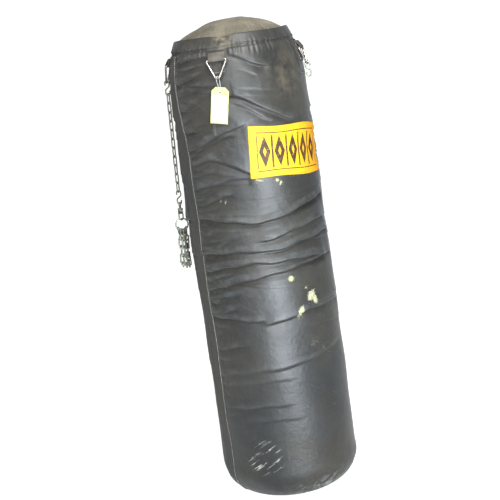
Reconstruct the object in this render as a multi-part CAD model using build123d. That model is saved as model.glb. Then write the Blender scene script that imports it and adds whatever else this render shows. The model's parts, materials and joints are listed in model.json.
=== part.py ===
"""Hanging heavy punching bag: a filled fabric cylinder with four webbing straps and triangle rings,
and its hanging chains, one still hooked to the left ring and three gathered in folded loops.

Frame: millimetres, +Z up, origin on the bag's axis at its flat foot. The front faces -Y.
Angles round the bag are in degrees from the front, positive towards +X.
"""
from build123d import *
import os
from math import asin, atan, cos, degrees, pi, radians, sin, sqrt, tan

# ---- bag: overall sizes ----
BAG_HEIGHT = 1140.0  # foot to the collar's edge
BASE_RADIUS = 173.0  # widest, just above the rounded foot
NECK_RADIUS = 167.0  # where the shoulder starts to draw in
FOOT_CORNER = 80.0  # radius of the rounded foot
SHOULDER_DEPTH = 130.0  # height over which the top draws in
SHOULDER_ARC = 272.0  # radius of the drawn-in shoulder, seen from the side

# ---- bag: casing ----
SHELL_WALL = 2.0
PANEL_REACH = 30.0  # how far the bottom panel comes up round the foot
HEM_HEIGHT = 28.0
HEM_WALL = 1.6
COVER_RISE = 48.0  # dome height of the top cover
COVER_SEAT = 12.0  # cover's stitched edge below the collar's edge
SEAM_ANGLE = -66.0
SEAM_WIDTH = 50.0
SEAM_WALL = 1.2
SEAM_MARGIN = 4.0
PATCH_ANGLE = 39.4
PATCH_HEIGHT_ABOVE_FOOT = 857.0
PATCH_WIDTH = 208.0  # straight across, before it wraps the wall
PATCH_DEPTH = 118.0
PATCH_TILT = -4.9
PATCH_WALL = 1.0

# ---- bag: filling ----
PACKING_GAP = 0.5
SAND_BAG_RADIUS = 55.0
SAND_BAG_LENGTH = 200.0
SAND_BAG_CORNER = 12.0
SAND_BAG_LIFT = 60.0  # lowest sand bag above the foot
SAND_BAG_PLACES = ("lower", "middle", "upper")

# ---- webbing straps ----
STRAP_ANGLES = {"front": -14.0, "right": 76.0, "back": 166.0, "left": -104.0}
WEB_WIDTH = 38.0
WEB_WALL = 2.4
BASE_TOP_DROP = 35.0  # top of the sewn-down webbing below the collar's edge
BASE_LENGTH = 53.0
HINGE_DROP = 42.0  # stitched fold of the loop below the collar's edge
LOOP_ROOT_RADIUS = 2.2
LOOP_WALL = 2.1
LOOP_REACH = 16.0  # stitched fold to the ring's bar
SOFT_GAP = 0.4  # between soft pieces that move past each other

# ---- triangle rings ----
RING_WIRE = 4.6
RING_BAR_GAP = 0.25
RING_CORNER = 3.5
RING_CROWN_RADIUS = 7.0
RING_SIDE_PLAY = 5.7  # bar beyond the webbing on each side, to the sharp corner
RING_APEX_DEPTH = 51.5
RING_LEAN = 16.0  # outwards, where the crown rests off the wall

# ---- chain ----
METAL_GAP = 0.3
LINK_WIRE = 3.5
LINK_SPAN = 25.8  # crown wire centre to crown wire centre
LINK_INSIDE_WIDTH = 4.8
HOOK_WIRE = 3.8
HOOK_GAP = 26.0  # between the two wires that an S-hook holds
HOOK_HALF_WIDTH = 5.2
STRAND_LINKS = 11
STRAND_OFF_WALL = 2.63  # outwards from the wall's own taper, in degrees, because the chain lies on it
STRAND_TURN = -22.0  # twist of the links out of square with the S-hooks
DOWN_LINKS = 4  # of each gathered chain, before its turning link
UP_LINKS = 3

# ---- swivel ----
EYE_RADIUS = 6.0
EYE_WIRE = 3.5
SHANK_RADIUS = 3.0
SHANK_GAP = 0.08
SHANK_TIP = 1.0
YOKE_TURN = -40.0
YOKE_WIRE = 3.5
YOKE_RADIUS = 9.25
YOKE_STRAIGHT = 9.0
BOSS_RADIUS = 6.5
BOSS_HEIGHT = 7.0
BOSS_RISE = 2.5  # boss above the bail's wire centre
BOSS_PLAY = 1.0
WASHER_RADIUS = 5.5
WASHER_WALL = 1.2
NUT_ACROSS = 10.0
NUT_HEIGHT = 5.0

# ---- gather ring and the three folded chains ----
GATHER_TURN = 25.0
GATHER_RADIUS = 15.5
GATHER_WIRE = 3.5
CHAIN_PITCH = 8.0  # between neighbouring folded chains, along the gather ring
HOOK_OFFSET = 4.0  # each end S-hook beside its own chain's first link
HOOK_THROW = 12.6  # sideways reach of the end S-hooks
NESTING = 4.4  # the middle chain stands back by a wire, so that wide links pass
DOWN_LEAN = 5.5  # of each chain's down run, away from its hook

# ---- tag ----
TAG_WIDTH = 41.0
TAG_HEIGHT = 83.0
TAG_WALL = 0.8
TAG_CHAMFER = 9.0
TAG_TURN = 11.0  # the tag hangs askew
TAG_HOLE_RADIUS = 3.4
TAG_HOLE_DROP = 12.0
TAG_LIFT = 4.0  # card off the bag's wall
TAG_BELOW_CROWN = 33.0  # hole below the ring's crown
EYELET_RADIUS = 4.6
EYELET_BORE = 2.2
EYELET_WALL = 0.5
STRING_WIRE = 1.2
STRING_SPREAD = 6.0  # how far to each side the string's two strands pass over the ring
STRING_CARD_GAP = 0.1  # string off the eyelet's flange
STRING_RING_GAP = 0.7  # string off the ring's wire
STRING_RISE = 15.0  # straight up from the hole before the strands part
STRING_DIP = 1.5  # below the crown's centre, where the strands turn over it
STRING_STAGGER = 0.6  # of the two ends at the hole, to each side
STRING_BOW = 2.2  # of the two strands away from each other
STRING_BEND_SHARE = 0.45  # of the shorter run that each bend may take


# ======== the bag ========
SHOULDER_START = BAG_HEIGHT - SHOULDER_DEPTH
WALL_TAPER = degrees(atan((BASE_RADIUS - NECK_RADIUS) / (SHOULDER_START - FOOT_CORNER)))
STRAND_LEAN = WALL_TAPER + STRAND_OFF_WALL
PAST_THE_WALL = 2 * BASE_RADIUS  # half-width of a tool that has to cut right through


def wall_radius(height, offset=0.0):
    """Radius of the casing's outer surface, moved outwards by offset, at a height."""
    if height < SHOULDER_START:
        share = (height - FOOT_CORNER) / (SHOULDER_START - FOOT_CORNER)
        return BASE_RADIUS + (NECK_RADIUS - BASE_RADIUS) * share + offset
    arc = SHOULDER_ARC + offset
    return NECK_RADIUS - SHOULDER_ARC + sqrt(arc**2 - (height - SHOULDER_START) ** 2)


def bag_body(offset):
    """The whole bag as one solid, with its surface moved outwards by offset."""
    corner = FOOT_CORNER + offset
    corner_centre = BASE_RADIUS - FOOT_CORNER
    foot = FOOT_CORNER - corner
    neck = NECK_RADIUS + offset
    top = wall_radius(BAG_HEIGHT, offset)
    halfway = SHOULDER_START + SHOULDER_DEPTH / 2
    bend = corner * cos(radians(45))
    outline = [
        Line((0, 0, foot), (corner_centre, 0, foot)),
        ThreePointArc(
            (corner_centre, 0, foot),
            (corner_centre + bend, 0, FOOT_CORNER - bend),
            (corner_centre + corner, 0, FOOT_CORNER),
        ),
        Line((corner_centre + corner, 0, FOOT_CORNER), (neck, 0, SHOULDER_START)),
        ThreePointArc(
            (neck, 0, SHOULDER_START), (wall_radius(halfway, offset), 0, halfway), (top, 0, BAG_HEIGHT)
        ),
        Line((top, 0, BAG_HEIGHT), (0, 0, BAG_HEIGHT)),
        Line((0, 0, BAG_HEIGHT), (0, 0, foot)),
    ]
    return revolve(make_face(outline), axis=Axis.Z)


def slab(low, high, radius=PAST_THE_WALL):
    """Everything between two heights."""
    return Pos(0, 0, low) * Cylinder(radius, high - low, align=(Align.CENTER, Align.CENTER, Align.MIN))


def wall_band(inner, outer, low, high):
    """A layer of the wall between two offsets and two heights."""
    return (bag_body(outer) - bag_body(inner)) & slab(low, high)


def facing(angle):
    """Turns a shape made on +X so that it faces the given angle round the bag."""
    return Rot(0, 0, angle - 90)


def build_main_shell():
    return wall_band(-SHELL_WALL, 0, PANEL_REACH, BAG_HEIGHT - HEM_WALL)


def build_bottom_panel():
    return wall_band(-SHELL_WALL, 0, 0, PANEL_REACH)


def build_collar_hem():
    """Hem turned over the shell's top edge: an outer band and the lip above the edge."""
    band = wall_band(0, HEM_WALL, BAG_HEIGHT - HEM_HEIGHT, BAG_HEIGHT)
    lip = wall_band(-SHELL_WALL, 0, BAG_HEIGHT - HEM_WALL, BAG_HEIGHT)
    return band + lip


def build_side_seam_strip():
    low = FOOT_CORNER + SEAM_MARGIN
    high = BAG_HEIGHT - HEM_HEIGHT - SEAM_MARGIN
    slot = Pos(BASE_RADIUS, 0, (low + high) / 2) * Box(BASE_RADIUS, SEAM_WIDTH, high - low)
    return wall_band(0, SEAM_WALL, low, high) & (facing(SEAM_ANGLE) * slot)


def build_front_patch():
    margin = PATCH_DEPTH
    low = PATCH_HEIGHT_ABOVE_FOOT - margin
    high = PATCH_HEIGHT_ABOVE_FOOT + margin
    cutter = Pos(BASE_RADIUS, 0, PATCH_HEIGHT_ABOVE_FOOT) * Rot(-PATCH_TILT, 0, 0)
    cutter = cutter * Box(2 * BASE_RADIUS, PATCH_WIDTH, PATCH_DEPTH)
    return wall_band(0, PATCH_WALL, low, high) & (facing(PATCH_ANGLE) * cutter)


def cover_dome(drop):
    """Solid under the top cover's dome, lowered by drop."""
    low = BAG_HEIGHT - COVER_SEAT - drop
    edge = wall_radius(BAG_HEIGHT - COVER_SEAT, -SHELL_WALL - PACKING_GAP)
    arc = (edge**2 + COVER_RISE**2) / (2 * COVER_RISE)
    halfway = low + COVER_RISE - arc + sqrt(arc**2 - edge**2 / 4)
    outline = [
        Line((0, 0, low), (edge, 0, low)),
        ThreePointArc((edge, 0, low), (edge / 2, 0, halfway), (0, 0, low + COVER_RISE)),
        Line((0, 0, low + COVER_RISE), (0, 0, low)),
    ]
    return revolve(make_face(outline), axis=Axis.Z)


def build_top_cover():
    edge_height = BAG_HEIGHT - COVER_SEAT
    return (cover_dome(0) - cover_dome(SHELL_WALL)) & slab(edge_height, edge_height + COVER_RISE + 1)


def sand_bag(index):
    length = SAND_BAG_LENGTH
    low = SAND_BAG_LIFT + index * (length + PACKING_GAP)
    body = Pos(0, 0, low) * Cylinder(SAND_BAG_RADIUS, length, align=(Align.CENTER, Align.CENTER, Align.MIN))
    return fillet(body.edges().filter_by(GeomType.CIRCLE), SAND_BAG_CORNER)


def build_fibre_filling():
    """Shredded fibre from the foot to the cover, packed round the sand bags."""
    shoulder = BAG_HEIGHT - COVER_SEAT - SHELL_WALL
    column = bag_body(-SHELL_WALL - PACKING_GAP) & slab(0, shoulder)
    crown = cover_dome(SHELL_WALL + PACKING_GAP)
    core = slab(
        SAND_BAG_LIFT - PACKING_GAP,
        SAND_BAG_LIFT + len(SAND_BAG_PLACES) * (SAND_BAG_LENGTH + PACKING_GAP),
        SAND_BAG_RADIUS + PACKING_GAP,
    )
    return column + crown - core


# ======== straps and triangle rings, made facing +X ========
HINGE_HEIGHT = BAG_HEIGHT - HINGE_DROP
LOOP_BAR_RADIUS = RING_WIRE / 2 + RING_BAR_GAP + LOOP_WALL


def wall_slope(height):
    """Angle by which the shoulder leans in from upright, in degrees."""
    return degrees(asin(max(0.0, height - SHOULDER_START) / SHOULDER_ARC))


def fold_point():
    """Centre of the loop's stitched fold, which is its hinge line."""
    slope = radians(wall_slope(HINGE_HEIGHT))
    lift = WEB_WALL + SOFT_GAP + LOOP_ROOT_RADIUS
    return Vector(wall_radius(HINGE_HEIGHT) + lift * cos(slope), 0, HINGE_HEIGHT + lift * sin(slope))


def bar_point():
    """Centre of the triangle ring's bar, inside the loop."""
    slope = radians(wall_slope(HINGE_HEIGHT))
    lift = LOOP_BAR_RADIUS - LOOP_ROOT_RADIUS
    out = lift * cos(slope) + LOOP_REACH * sin(slope)
    up = lift * sin(slope) - LOOP_REACH * cos(slope)
    return fold_point() + Vector(out, 0, up)


def crown_depth():
    """Bar centre line to the crown's centre line."""
    half_angle = radians(90) - asin(
        RING_APEX_DEPTH / sqrt(RING_APEX_DEPTH**2 + (WEB_WIDTH / 2 + RING_SIDE_PLAY) ** 2)
    )
    return RING_APEX_DEPTH - RING_CROWN_RADIUS * (1 / sin(half_angle) - 1)


def crown_point():
    """Centre of the ring's wire at its crown, where a hook or a string hangs."""
    lean = radians(RING_LEAN)
    return bar_point() + Vector(crown_depth() * sin(lean), 0, -crown_depth() * cos(lean))


def wire_along(path, wire):
    """Round wire of the given diameter along a path."""
    return sweep(Plane(origin=path @ 0, z_dir=path % 0) * Circle(wire / 2), path=path)


def strap_base():
    """Webbing sewn flat on the wall."""
    high = BAG_HEIGHT - BASE_TOP_DROP
    low = high - BASE_LENGTH
    slot = Pos(BASE_RADIUS, 0, (low + high) / 2) * Box(BASE_RADIUS, WEB_WIDTH, BASE_LENGTH)
    return wall_band(0, WEB_WALL, low, high) & slot


def strap_loop():
    """Webbing folded round the ring's bar, free to flip on its stitched fold."""
    fold = fold_point()
    bar = bar_point()
    root = Pos(fold.X, fold.Z) * Circle(LOOP_ROOT_RADIUS)
    eye = Pos(bar.X, bar.Z) * Circle(LOOP_BAR_RADIUS)
    bore = Pos(bar.X, bar.Z) * Circle(RING_WIRE / 2 + RING_BAR_GAP)
    outline = make_hull(root.edges() + eye.edges()) - bore
    return extrude(Plane.XZ * outline, WEB_WIDTH / 2, both=True)


def triangle_ring():
    half = WEB_WIDTH / 2 + RING_SIDE_PLAY
    outline = FilletPolyline(
        (-half, 0),
        (half, 0),
        (0, -RING_APEX_DEPTH),
        radius=[RING_CORNER, RING_CORNER, RING_CROWN_RADIUS],
        close=True,
    )
    lean = radians(RING_LEAN)
    ring_plane = Plane(origin=bar_point(), x_dir=(0, 1, 0), z_dir=(cos(lean), 0, sin(lean)))
    return ring_plane.location * wire_along(outline, RING_WIRE)


# ======== links and hooks ========
LINK_CROWN = (LINK_INSIDE_WIDTH + LINK_WIRE) / 2
LINK_REST = LINK_WIRE + METAL_GAP  # wire centre to wire centre, one link in the next


def link_solid():
    """One welded link, long in Z and wide in X, centred on the origin."""
    upright = Plane(origin=(0, 0, 0), x_dir=(0, 0, 1), z_dir=(0, 1, 0))
    outline = upright * SlotCenterToCenter(LINK_SPAN - 2 * LINK_CROWN, 2 * LINK_CROWN)
    return wire_along(outline.wire(), LINK_WIRE)


LINK = link_solid()


class Run:
    """A row of links that starts at a crown wire centre and follows one direction per link."""

    def __init__(self, start, directions, across):
        self.links = []
        self.crowns = []
        top = start
        for index, direction in enumerate(directions):
            bottom = top + direction * LINK_SPAN
            wide = across if index % 2 else across.cross(direction)
            seat = Plane(origin=(top + bottom) / 2, x_dir=wide, z_dir=direction * -1)
            self.links.append(seat.location * LINK)
            self.crowns.append((top, bottom))
            top = bottom - direction * LINK_REST
        self.end = self.crowns[-1][1]


def s_hook(held_above, held_below):
    """S-hook in the XZ plane, for two wires of the given diameters HOOK_GAP apart."""
    high = HOOK_GAP / 2 + (HOOK_WIRE + held_above) / 2 + METAL_GAP
    low = -HOOK_GAP / 2 - (HOOK_WIRE + held_below) / 2 - METAL_GAP
    side = HOOK_HALF_WIDTH
    knee = HOOK_GAP / 6
    tip = HOOK_GAP / 4
    bend = side * 0.98
    path = FilletPolyline(
        (side, 0, tip),
        (side, 0, high),
        (-side, 0, high),
        (-side, 0, knee),
        (side, 0, -knee),
        (side, 0, low),
        (-side, 0, low),
        (-side, 0, -tip),
        radius=[bend, bend, side, side, bend, bend],
    )
    return wire_along(path, HOOK_WIRE)


def hook_between(upper, lower, across, held_above, held_below):
    """S-hook set between the centres of the two wires it holds."""
    seat = Plane(origin=(upper + lower) / 2, x_dir=across, z_dir=upper - lower)
    return seat.location * s_hook(held_above, held_below)


# ======== left strand and swivel, in a frame whose origin is the left ring's crown ========
DOWN = Vector(0, 0, -1)


def strand_frame():
    """Places the strand: out along +X, down the wall with its lean, at the left ring's crown."""
    crown = crown_point()
    return facing(STRAP_ANGLES["left"]) * Pos(crown.X, crown.Y, crown.Z) * Rot(0, -STRAND_LEAN, 0)


def turned(angle):
    """Level unit vector turned from +X about the strand."""
    return Vector(cos(radians(angle)), sin(radians(angle)), 0)


STRAND_TOP = DOWN * HOOK_GAP
STRAND = Run(STRAND_TOP, [DOWN] * STRAND_LINKS, turned(STRAND_TURN))
EYE_TOP = STRAND.end + DOWN * HOOK_GAP
EYE_CENTRE = EYE_TOP + DOWN * EYE_RADIUS
BOSS_TOP = EYE_CENTRE + DOWN * (EYE_RADIUS + EYE_WIRE / 2 + BOSS_PLAY)
YOKE_TOP = BOSS_TOP + DOWN * BOSS_RISE
WASHER_TOP = BOSS_TOP + DOWN * (BOSS_HEIGHT + METAL_GAP)
NUT_TOP = WASHER_TOP + DOWN * WASHER_WALL
YOKE_BOTTOM = YOKE_TOP + DOWN * (YOKE_STRAIGHT + 2 * YOKE_RADIUS)
GATHER_CENTRE = YOKE_BOTTOM + DOWN * (GATHER_RADIUS - (YOKE_WIRE + GATHER_WIRE) / 2 - METAL_GAP)


def hanging_cylinder(top, radius, height):
    """Upright cylinder hanging down from a point."""
    return Pos(top.X, top.Y, top.Z) * Cylinder(radius, height, align=(Align.CENTER, Align.CENTER, Align.MAX))


def swivel_eye_bolt():
    eye = Pos(EYE_CENTRE.X, EYE_CENTRE.Y, EYE_CENTRE.Z) * Rot(0, 90, 0) * Torus(EYE_RADIUS, EYE_WIRE / 2)
    start = EYE_CENTRE + DOWN * EYE_RADIUS
    length = start.Z - NUT_TOP.Z + NUT_HEIGHT + SHANK_TIP
    return eye + hanging_cylinder(start, SHANK_RADIUS, length)


def swivel_washer():
    bore = hanging_cylinder(WASHER_TOP, SHANK_RADIUS + SHANK_GAP, WASHER_WALL)
    return hanging_cylinder(WASHER_TOP, WASHER_RADIUS, WASHER_WALL) - bore


def swivel_nut():
    hexagon = RegularPolygon(NUT_ACROSS / 2, 6, major_radius=False) - Circle(SHANK_RADIUS)
    return Pos(0, 0, NUT_TOP.Z - NUT_HEIGHT) * extrude(hexagon, NUT_HEIGHT)


def swivel_yoke():
    """Oval bail with a drilled boss that turns on the shank."""
    middle = (YOKE_TOP + YOKE_BOTTOM) / 2
    upright = Plane(origin=middle, x_dir=(0, 0, 1), z_dir=turned(YOKE_TURN + 90))
    bail = wire_along((upright * SlotCenterToCenter(YOKE_STRAIGHT, 2 * YOKE_RADIUS)).wire(), YOKE_WIRE)
    boss = hanging_cylinder(BOSS_TOP, BOSS_RADIUS, BOSS_HEIGHT)
    bore = hanging_cylinder(BOSS_TOP, SHANK_RADIUS + SHANK_GAP, BOSS_HEIGHT)
    return bail + boss - bore


def gather_ring():
    seat = Plane(origin=GATHER_CENTRE, x_dir=turned(GATHER_TURN), z_dir=turned(GATHER_TURN + 90))
    return seat.location * Torus(GATHER_RADIUS, GATHER_WIRE / 2)


class FoldedChain:
    """One gathered chain: down from the gather ring, through a turning link, and back up to its end
    S-hook on the same ring. The up run leans by whatever makes the turning link span the fold."""

    def __init__(self, place):
        self.along = turned(GATHER_TURN)
        self.back = turned(GATHER_TURN + 90)
        self.shift = NESTING if place == 0 else 0.0
        middle = place * CHAIN_PITCH
        self.down_run = self.make_down_run(middle - HOOK_OFFSET / 2)
        rest = (GATHER_WIRE + HOOK_WIRE) / 2 + METAL_GAP
        self.hook_top = self.inside_ring(middle + HOOK_OFFSET / 2, rest) + DOWN * rest
        throw = HOOK_THROW + self.shift
        self.hook_low = self.hook_top + self.back * throw + DOWN * sqrt(HOOK_GAP**2 - throw**2)
        self.up_run = self.fitted_up_run()
        direction = (self.up_run.end - self.down_run.end).normalized()
        self.turn = Run(self.down_run.end - direction * LINK_REST, [direction], self.along)

    def inside_ring(self, along, rest):
        """Point at a distance along the gather ring, inside its lower half by the resting distance."""
        return GATHER_CENTRE + self.along * along + DOWN * sqrt((GATHER_RADIUS - rest) ** 2 - along**2)

    def make_down_run(self, along):
        """Links that lean back from the hook. The middle chain's first link steps aside."""
        start = self.inside_ring(along, (GATHER_WIRE + LINK_WIRE) / 2 + METAL_GAP)
        drift = self.along * (HOOK_OFFSET / 2 / (DOWN_LINKS * LINK_SPAN))
        straight = (DOWN - self.back * tan(radians(DOWN_LEAN)) + drift).normalized()
        entry = (straight + self.back * (self.shift / LINK_SPAN)).normalized()
        return Run(start, [entry] + [straight] * (DOWN_LINKS - 1), self.along)

    def make_up_run(self, lean):
        """Links below the end S-hook, leaning by the given angle."""
        drift = self.along * (-HOOK_OFFSET / 2 / (UP_LINKS * LINK_SPAN))
        direction = (DOWN + self.back * tan(radians(lean)) + drift).normalized()
        return Run(self.hook_low, [direction] * UP_LINKS, self.back)

    def fitted_up_run(self):
        """Up run whose end is exactly one turning link from the down run's end, by halving."""
        fold = LINK_SPAN - 2 * LINK_REST
        low, high = -40.0, 40.0
        for _ in range(40):
            lean = (low + high) / 2
            if (self.make_up_run(lean).end - self.down_run.end).length < fold:
                low = lean
            else:
                high = lean
        print("up run lean", round(lean, 2))
        return self.make_up_run(lean)

    def links(self):
        return self.down_run.links + self.turn.links + self.up_run.links

    def hook(self):
        return hook_between(self.hook_top, self.hook_low, self.back, GATHER_WIRE, LINK_WIRE)


# ======== tag, made facing +X like the straps ========
def tag_origin():
    """Centre of the tag's hole, on the card's middle plane."""
    crown = crown_point()
    height = crown.Z - TAG_BELOW_CROWN
    return Vector(wall_radius(height) + TAG_LIFT, 0, height)


def tag_plane():
    """Local x across the card, local y up it, origin at the hole."""
    lean = radians(TAG_TURN)
    return Plane(origin=tag_origin(), x_dir=(0, cos(lean), -sin(lean)), z_dir=(1, 0, 0))


def tag_card():
    half = TAG_WIDTH / 2
    top = TAG_HOLE_DROP
    low = TAG_HOLE_DROP - TAG_HEIGHT
    outline = Polyline(
        (-half, low),
        (half, low),
        (half, top - TAG_CHAMFER),
        (half - TAG_CHAMFER, top),
        (TAG_CHAMFER - half, top),
        (-half, top - TAG_CHAMFER),
        close=True,
    )
    card = extrude(make_face(outline) - Circle(TAG_HOLE_RADIUS), TAG_WALL / 2, both=True)
    return tag_plane().location * card


def tag_eyelet():
    """Pressed fibre eyelet: a sleeve in the hole with a flange on each face."""
    flange = Cylinder(EYELET_RADIUS, TAG_WALL + 2 * EYELET_WALL)
    card = Cylinder(EYELET_RADIUS, TAG_WALL) - Cylinder(TAG_HOLE_RADIUS, TAG_WALL)
    bore = Cylinder(EYELET_BORE, TAG_WALL + 2 * EYELET_WALL)
    return tag_plane().location * (flange - card - bore)


def tag_string_route():
    """Points of the string's loop: up in front of the ring's crown, over it and down behind the card."""
    hole = tag_origin()
    crown = crown_point()
    face = TAG_WALL / 2 + EYELET_WALL + STRING_WIRE / 2 + STRING_CARD_GAP
    clear = RING_WIRE / 2 + STRING_WIRE / 2 + STRING_RING_GAP
    start = EYELET_BORE + STRING_WIRE
    return [
        Vector(hole.X + face, -STRING_STAGGER, hole.Z + start),
        Vector(hole.X + face + STRING_RING_GAP, -STRING_BOW, hole.Z + STRING_RISE),
        Vector(crown.X + clear, -STRING_SPREAD / 2, crown.Z - STRING_DIP),
        Vector(crown.X + clear * 0.7, -STRING_SPREAD / 4, crown.Z + clear),
        Vector(crown.X - clear * 0.7, STRING_SPREAD / 4, crown.Z + clear),
        Vector(crown.X - clear, STRING_SPREAD / 2, crown.Z - STRING_DIP),
        Vector(hole.X - face, STRING_BOW, hole.Z + STRING_RISE),
        Vector(hole.X - face, STRING_STAGGER, hole.Z + start),
    ]


def tag_string():
    points = tag_string_route()
    radii = []
    for before, at, after in zip(points, points[1:], points[2:]):
        turn = radians((at - before).get_angle(after - at))
        shorter = min((at - before).length, (after - at).length)
        radii.append(STRING_BEND_SHARE * shorter / tan(turn / 2))
    print("tag string bend radii", [round(radius, 1) for radius in radii])
    path = FilletPolyline(*points, radius=radii)
    cord = wire_along(path, STRING_WIRE)
    section = pi * STRING_WIRE**2 / 4
    print("tag string volume over section times length", round(cord.volume / (section * path.length), 4))
    return cord


# ======== every node ========
def build_nodes():
    nodes = {
        "main_shell": build_main_shell(),
        "bottom_panel": build_bottom_panel(),
        "side_seam_strip": build_side_seam_strip(),
        "collar_hem": build_collar_hem(),
        "top_cover": build_top_cover(),
        "fibre_filling": build_fibre_filling(),
        "front_patch": build_front_patch(),
    }
    for index, place in enumerate(SAND_BAG_PLACES):
        nodes[f"sand_bag_{place}"] = sand_bag(index)

    base, loop, ring = strap_base(), strap_loop(), triangle_ring()
    for side, angle in STRAP_ANGLES.items():
        nodes[f"strap_base_{side}"] = facing(angle) * base
        nodes[f"strap_loop_{side}"] = facing(angle) * loop
        nodes[f"triangle_ring_{side}"] = facing(angle) * ring

    front = facing(STRAP_ANGLES["front"])
    nodes["tag_card"] = front * tag_card()
    nodes["tag_eyelet"] = front * tag_eyelet()
    nodes["tag_string"] = front * tag_string()

    crown = crown_point()
    loose_hook = Pos(crown.X, crown.Y, crown.Z) * Rot(0, -STRAND_LEAN, 0)
    loose_hook = loose_hook * hook_between(Vector(0, 0, 0), STRAND_TOP, Vector(1, 0, 0), RING_WIRE, LINK_WIRE)
    nodes["s_hook_right"] = facing(STRAP_ANGLES["right"]) * loose_hook

    strand = strand_frame()
    out = Vector(1, 0, 0)
    nodes["s_hook_left"] = strand * hook_between(Vector(0, 0, 0), STRAND_TOP, out, RING_WIRE, LINK_WIRE)
    for index, link in enumerate(STRAND.links, start=1):
        nodes[f"chain_link_{index:02d}"] = strand * link
    nodes["swivel_s_hook"] = strand * hook_between(STRAND.end, EYE_TOP, out, LINK_WIRE, EYE_WIRE)
    nodes["swivel_eye_bolt"] = strand * swivel_eye_bolt()
    nodes["swivel_washer"] = strand * swivel_washer()
    nodes["swivel_nut"] = strand * swivel_nut()
    nodes["swivel_yoke"] = strand * swivel_yoke()
    nodes["gather_ring"] = strand * gather_ring()
    for place, name in ((-1, "outer"), (0, "middle"), (1, "inner")):
        folded = FoldedChain(place)
        nodes[f"gathered_chain_{name}"] = strand * Compound(folded.links())
        nodes[f"gathered_hook_{name}"] = strand * folded.hook()
    return nodes


os.makedirs("parts", exist_ok=True)
for node, shape in build_nodes().items():
    export_step(shape, f"parts/{node}.step")
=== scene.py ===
"""Looks of a used hanging punching bag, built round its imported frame.

The bag is a filled tube of coated nylon that has settled into folds. Four webbing straps hold
triangle rings; a chain strand hangs from the left ring and a strung tag from the front one.
Everything is in metres. Angles round the bag are in degrees from the front (-Y), positive to +X.
"""

import json
import logging
import math
from dataclasses import dataclass, field
from enum import Enum

import bpy
import numpy as np
from mathutils import Matrix, Vector

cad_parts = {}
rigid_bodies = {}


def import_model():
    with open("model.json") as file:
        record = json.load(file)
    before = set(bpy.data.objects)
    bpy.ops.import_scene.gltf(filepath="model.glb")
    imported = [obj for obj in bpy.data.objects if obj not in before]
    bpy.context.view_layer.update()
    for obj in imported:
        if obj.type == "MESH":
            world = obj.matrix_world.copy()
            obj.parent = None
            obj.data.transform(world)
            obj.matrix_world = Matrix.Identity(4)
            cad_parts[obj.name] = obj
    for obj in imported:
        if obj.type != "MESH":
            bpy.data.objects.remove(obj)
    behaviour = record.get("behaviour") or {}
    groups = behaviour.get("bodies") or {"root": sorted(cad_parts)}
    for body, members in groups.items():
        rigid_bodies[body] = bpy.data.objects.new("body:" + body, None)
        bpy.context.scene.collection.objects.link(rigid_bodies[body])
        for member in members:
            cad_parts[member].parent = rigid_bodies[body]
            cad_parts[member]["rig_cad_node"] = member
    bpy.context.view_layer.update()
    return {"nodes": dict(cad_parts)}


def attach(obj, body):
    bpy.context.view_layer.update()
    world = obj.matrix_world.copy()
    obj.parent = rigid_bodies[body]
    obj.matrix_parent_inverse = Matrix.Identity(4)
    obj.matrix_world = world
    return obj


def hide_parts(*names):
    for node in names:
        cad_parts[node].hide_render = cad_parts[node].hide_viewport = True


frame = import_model()
log = logging.getLogger("punching_bag")
Array = np.ndarray
Colour = tuple[float, float, float]
Place = tuple[float, float, float]
TORN_WALL = 0.1715  # the wall's radius where the coating has flaked


# ======== geometry helpers ========
def smooth_step(value: Array, low: float, high: float) -> Array:
    """Rise from 0 at low to 1 at high along 3t^2 - 2t^3."""
    t = np.clip((value - low) / (high - low), 0.0, 1.0)
    return t * t * (3.0 - 2.0 * t)


def window(value: Array, low: float, high: float, fade: float) -> Array:
    """1 between low and high, falling smoothly to 0 over fade on each side."""
    return smooth_step(value, low - fade, low) * (1.0 - smooth_step(value, high, high + fade))


def wrapped(degrees: Array) -> Array:
    """Angles brought into -180 to 180 degrees."""
    return (degrees + 180.0) % 360.0 - 180.0


def radial_axes(angle: float) -> tuple[Array, Array, Array]:
    """Outward, sideways and upward unit vectors at an angle round the bag.

    Args:
        angle: Degrees from the front.

    Returns:
        Three unit vectors: (sin, -cos, 0), (cos, sin, 0) and up.
    """
    a = math.radians(angle)
    out = np.array([math.sin(a), -math.cos(a), 0.0])
    side = np.array([math.cos(a), math.sin(a), 0.0])
    return out, side, np.array([0.0, 0.0, 1.0])


def unit(vectors: Array) -> Array:
    """Vectors divided by their lengths."""
    return vectors / np.maximum(np.linalg.norm(vectors, axis=-1, keepdims=True), 1e-12)


def linked_mesh(name: str, vertices: Array, faces: list[list[int]]) -> bpy.types.Object:
    """Make a smooth shaded mesh object and link it to the scene.

    Args:
        name: Name of the piece.
        vertices: Points, n by 3.
        faces: Vertex numbers of each face.

    Returns:
        The new object, at the origin.
    """
    mesh = bpy.data.meshes.new(name)
    mesh.from_pydata(vertices.tolist(), [], faces)
    mesh.polygons.foreach_set("use_smooth", np.ones(len(mesh.polygons), bool))
    piece = bpy.data.objects.new(name, mesh)
    bpy.context.scene.collection.objects.link(piece)
    return piece


def thicken(sheet: bpy.types.Object, depth: float) -> None:
    """Give a sheet its thickness, inwards from its surface."""
    solid = sheet.modifiers.new("thickness", "SOLIDIFY")
    solid.thickness = depth
    solid.offset = -1.0


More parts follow.
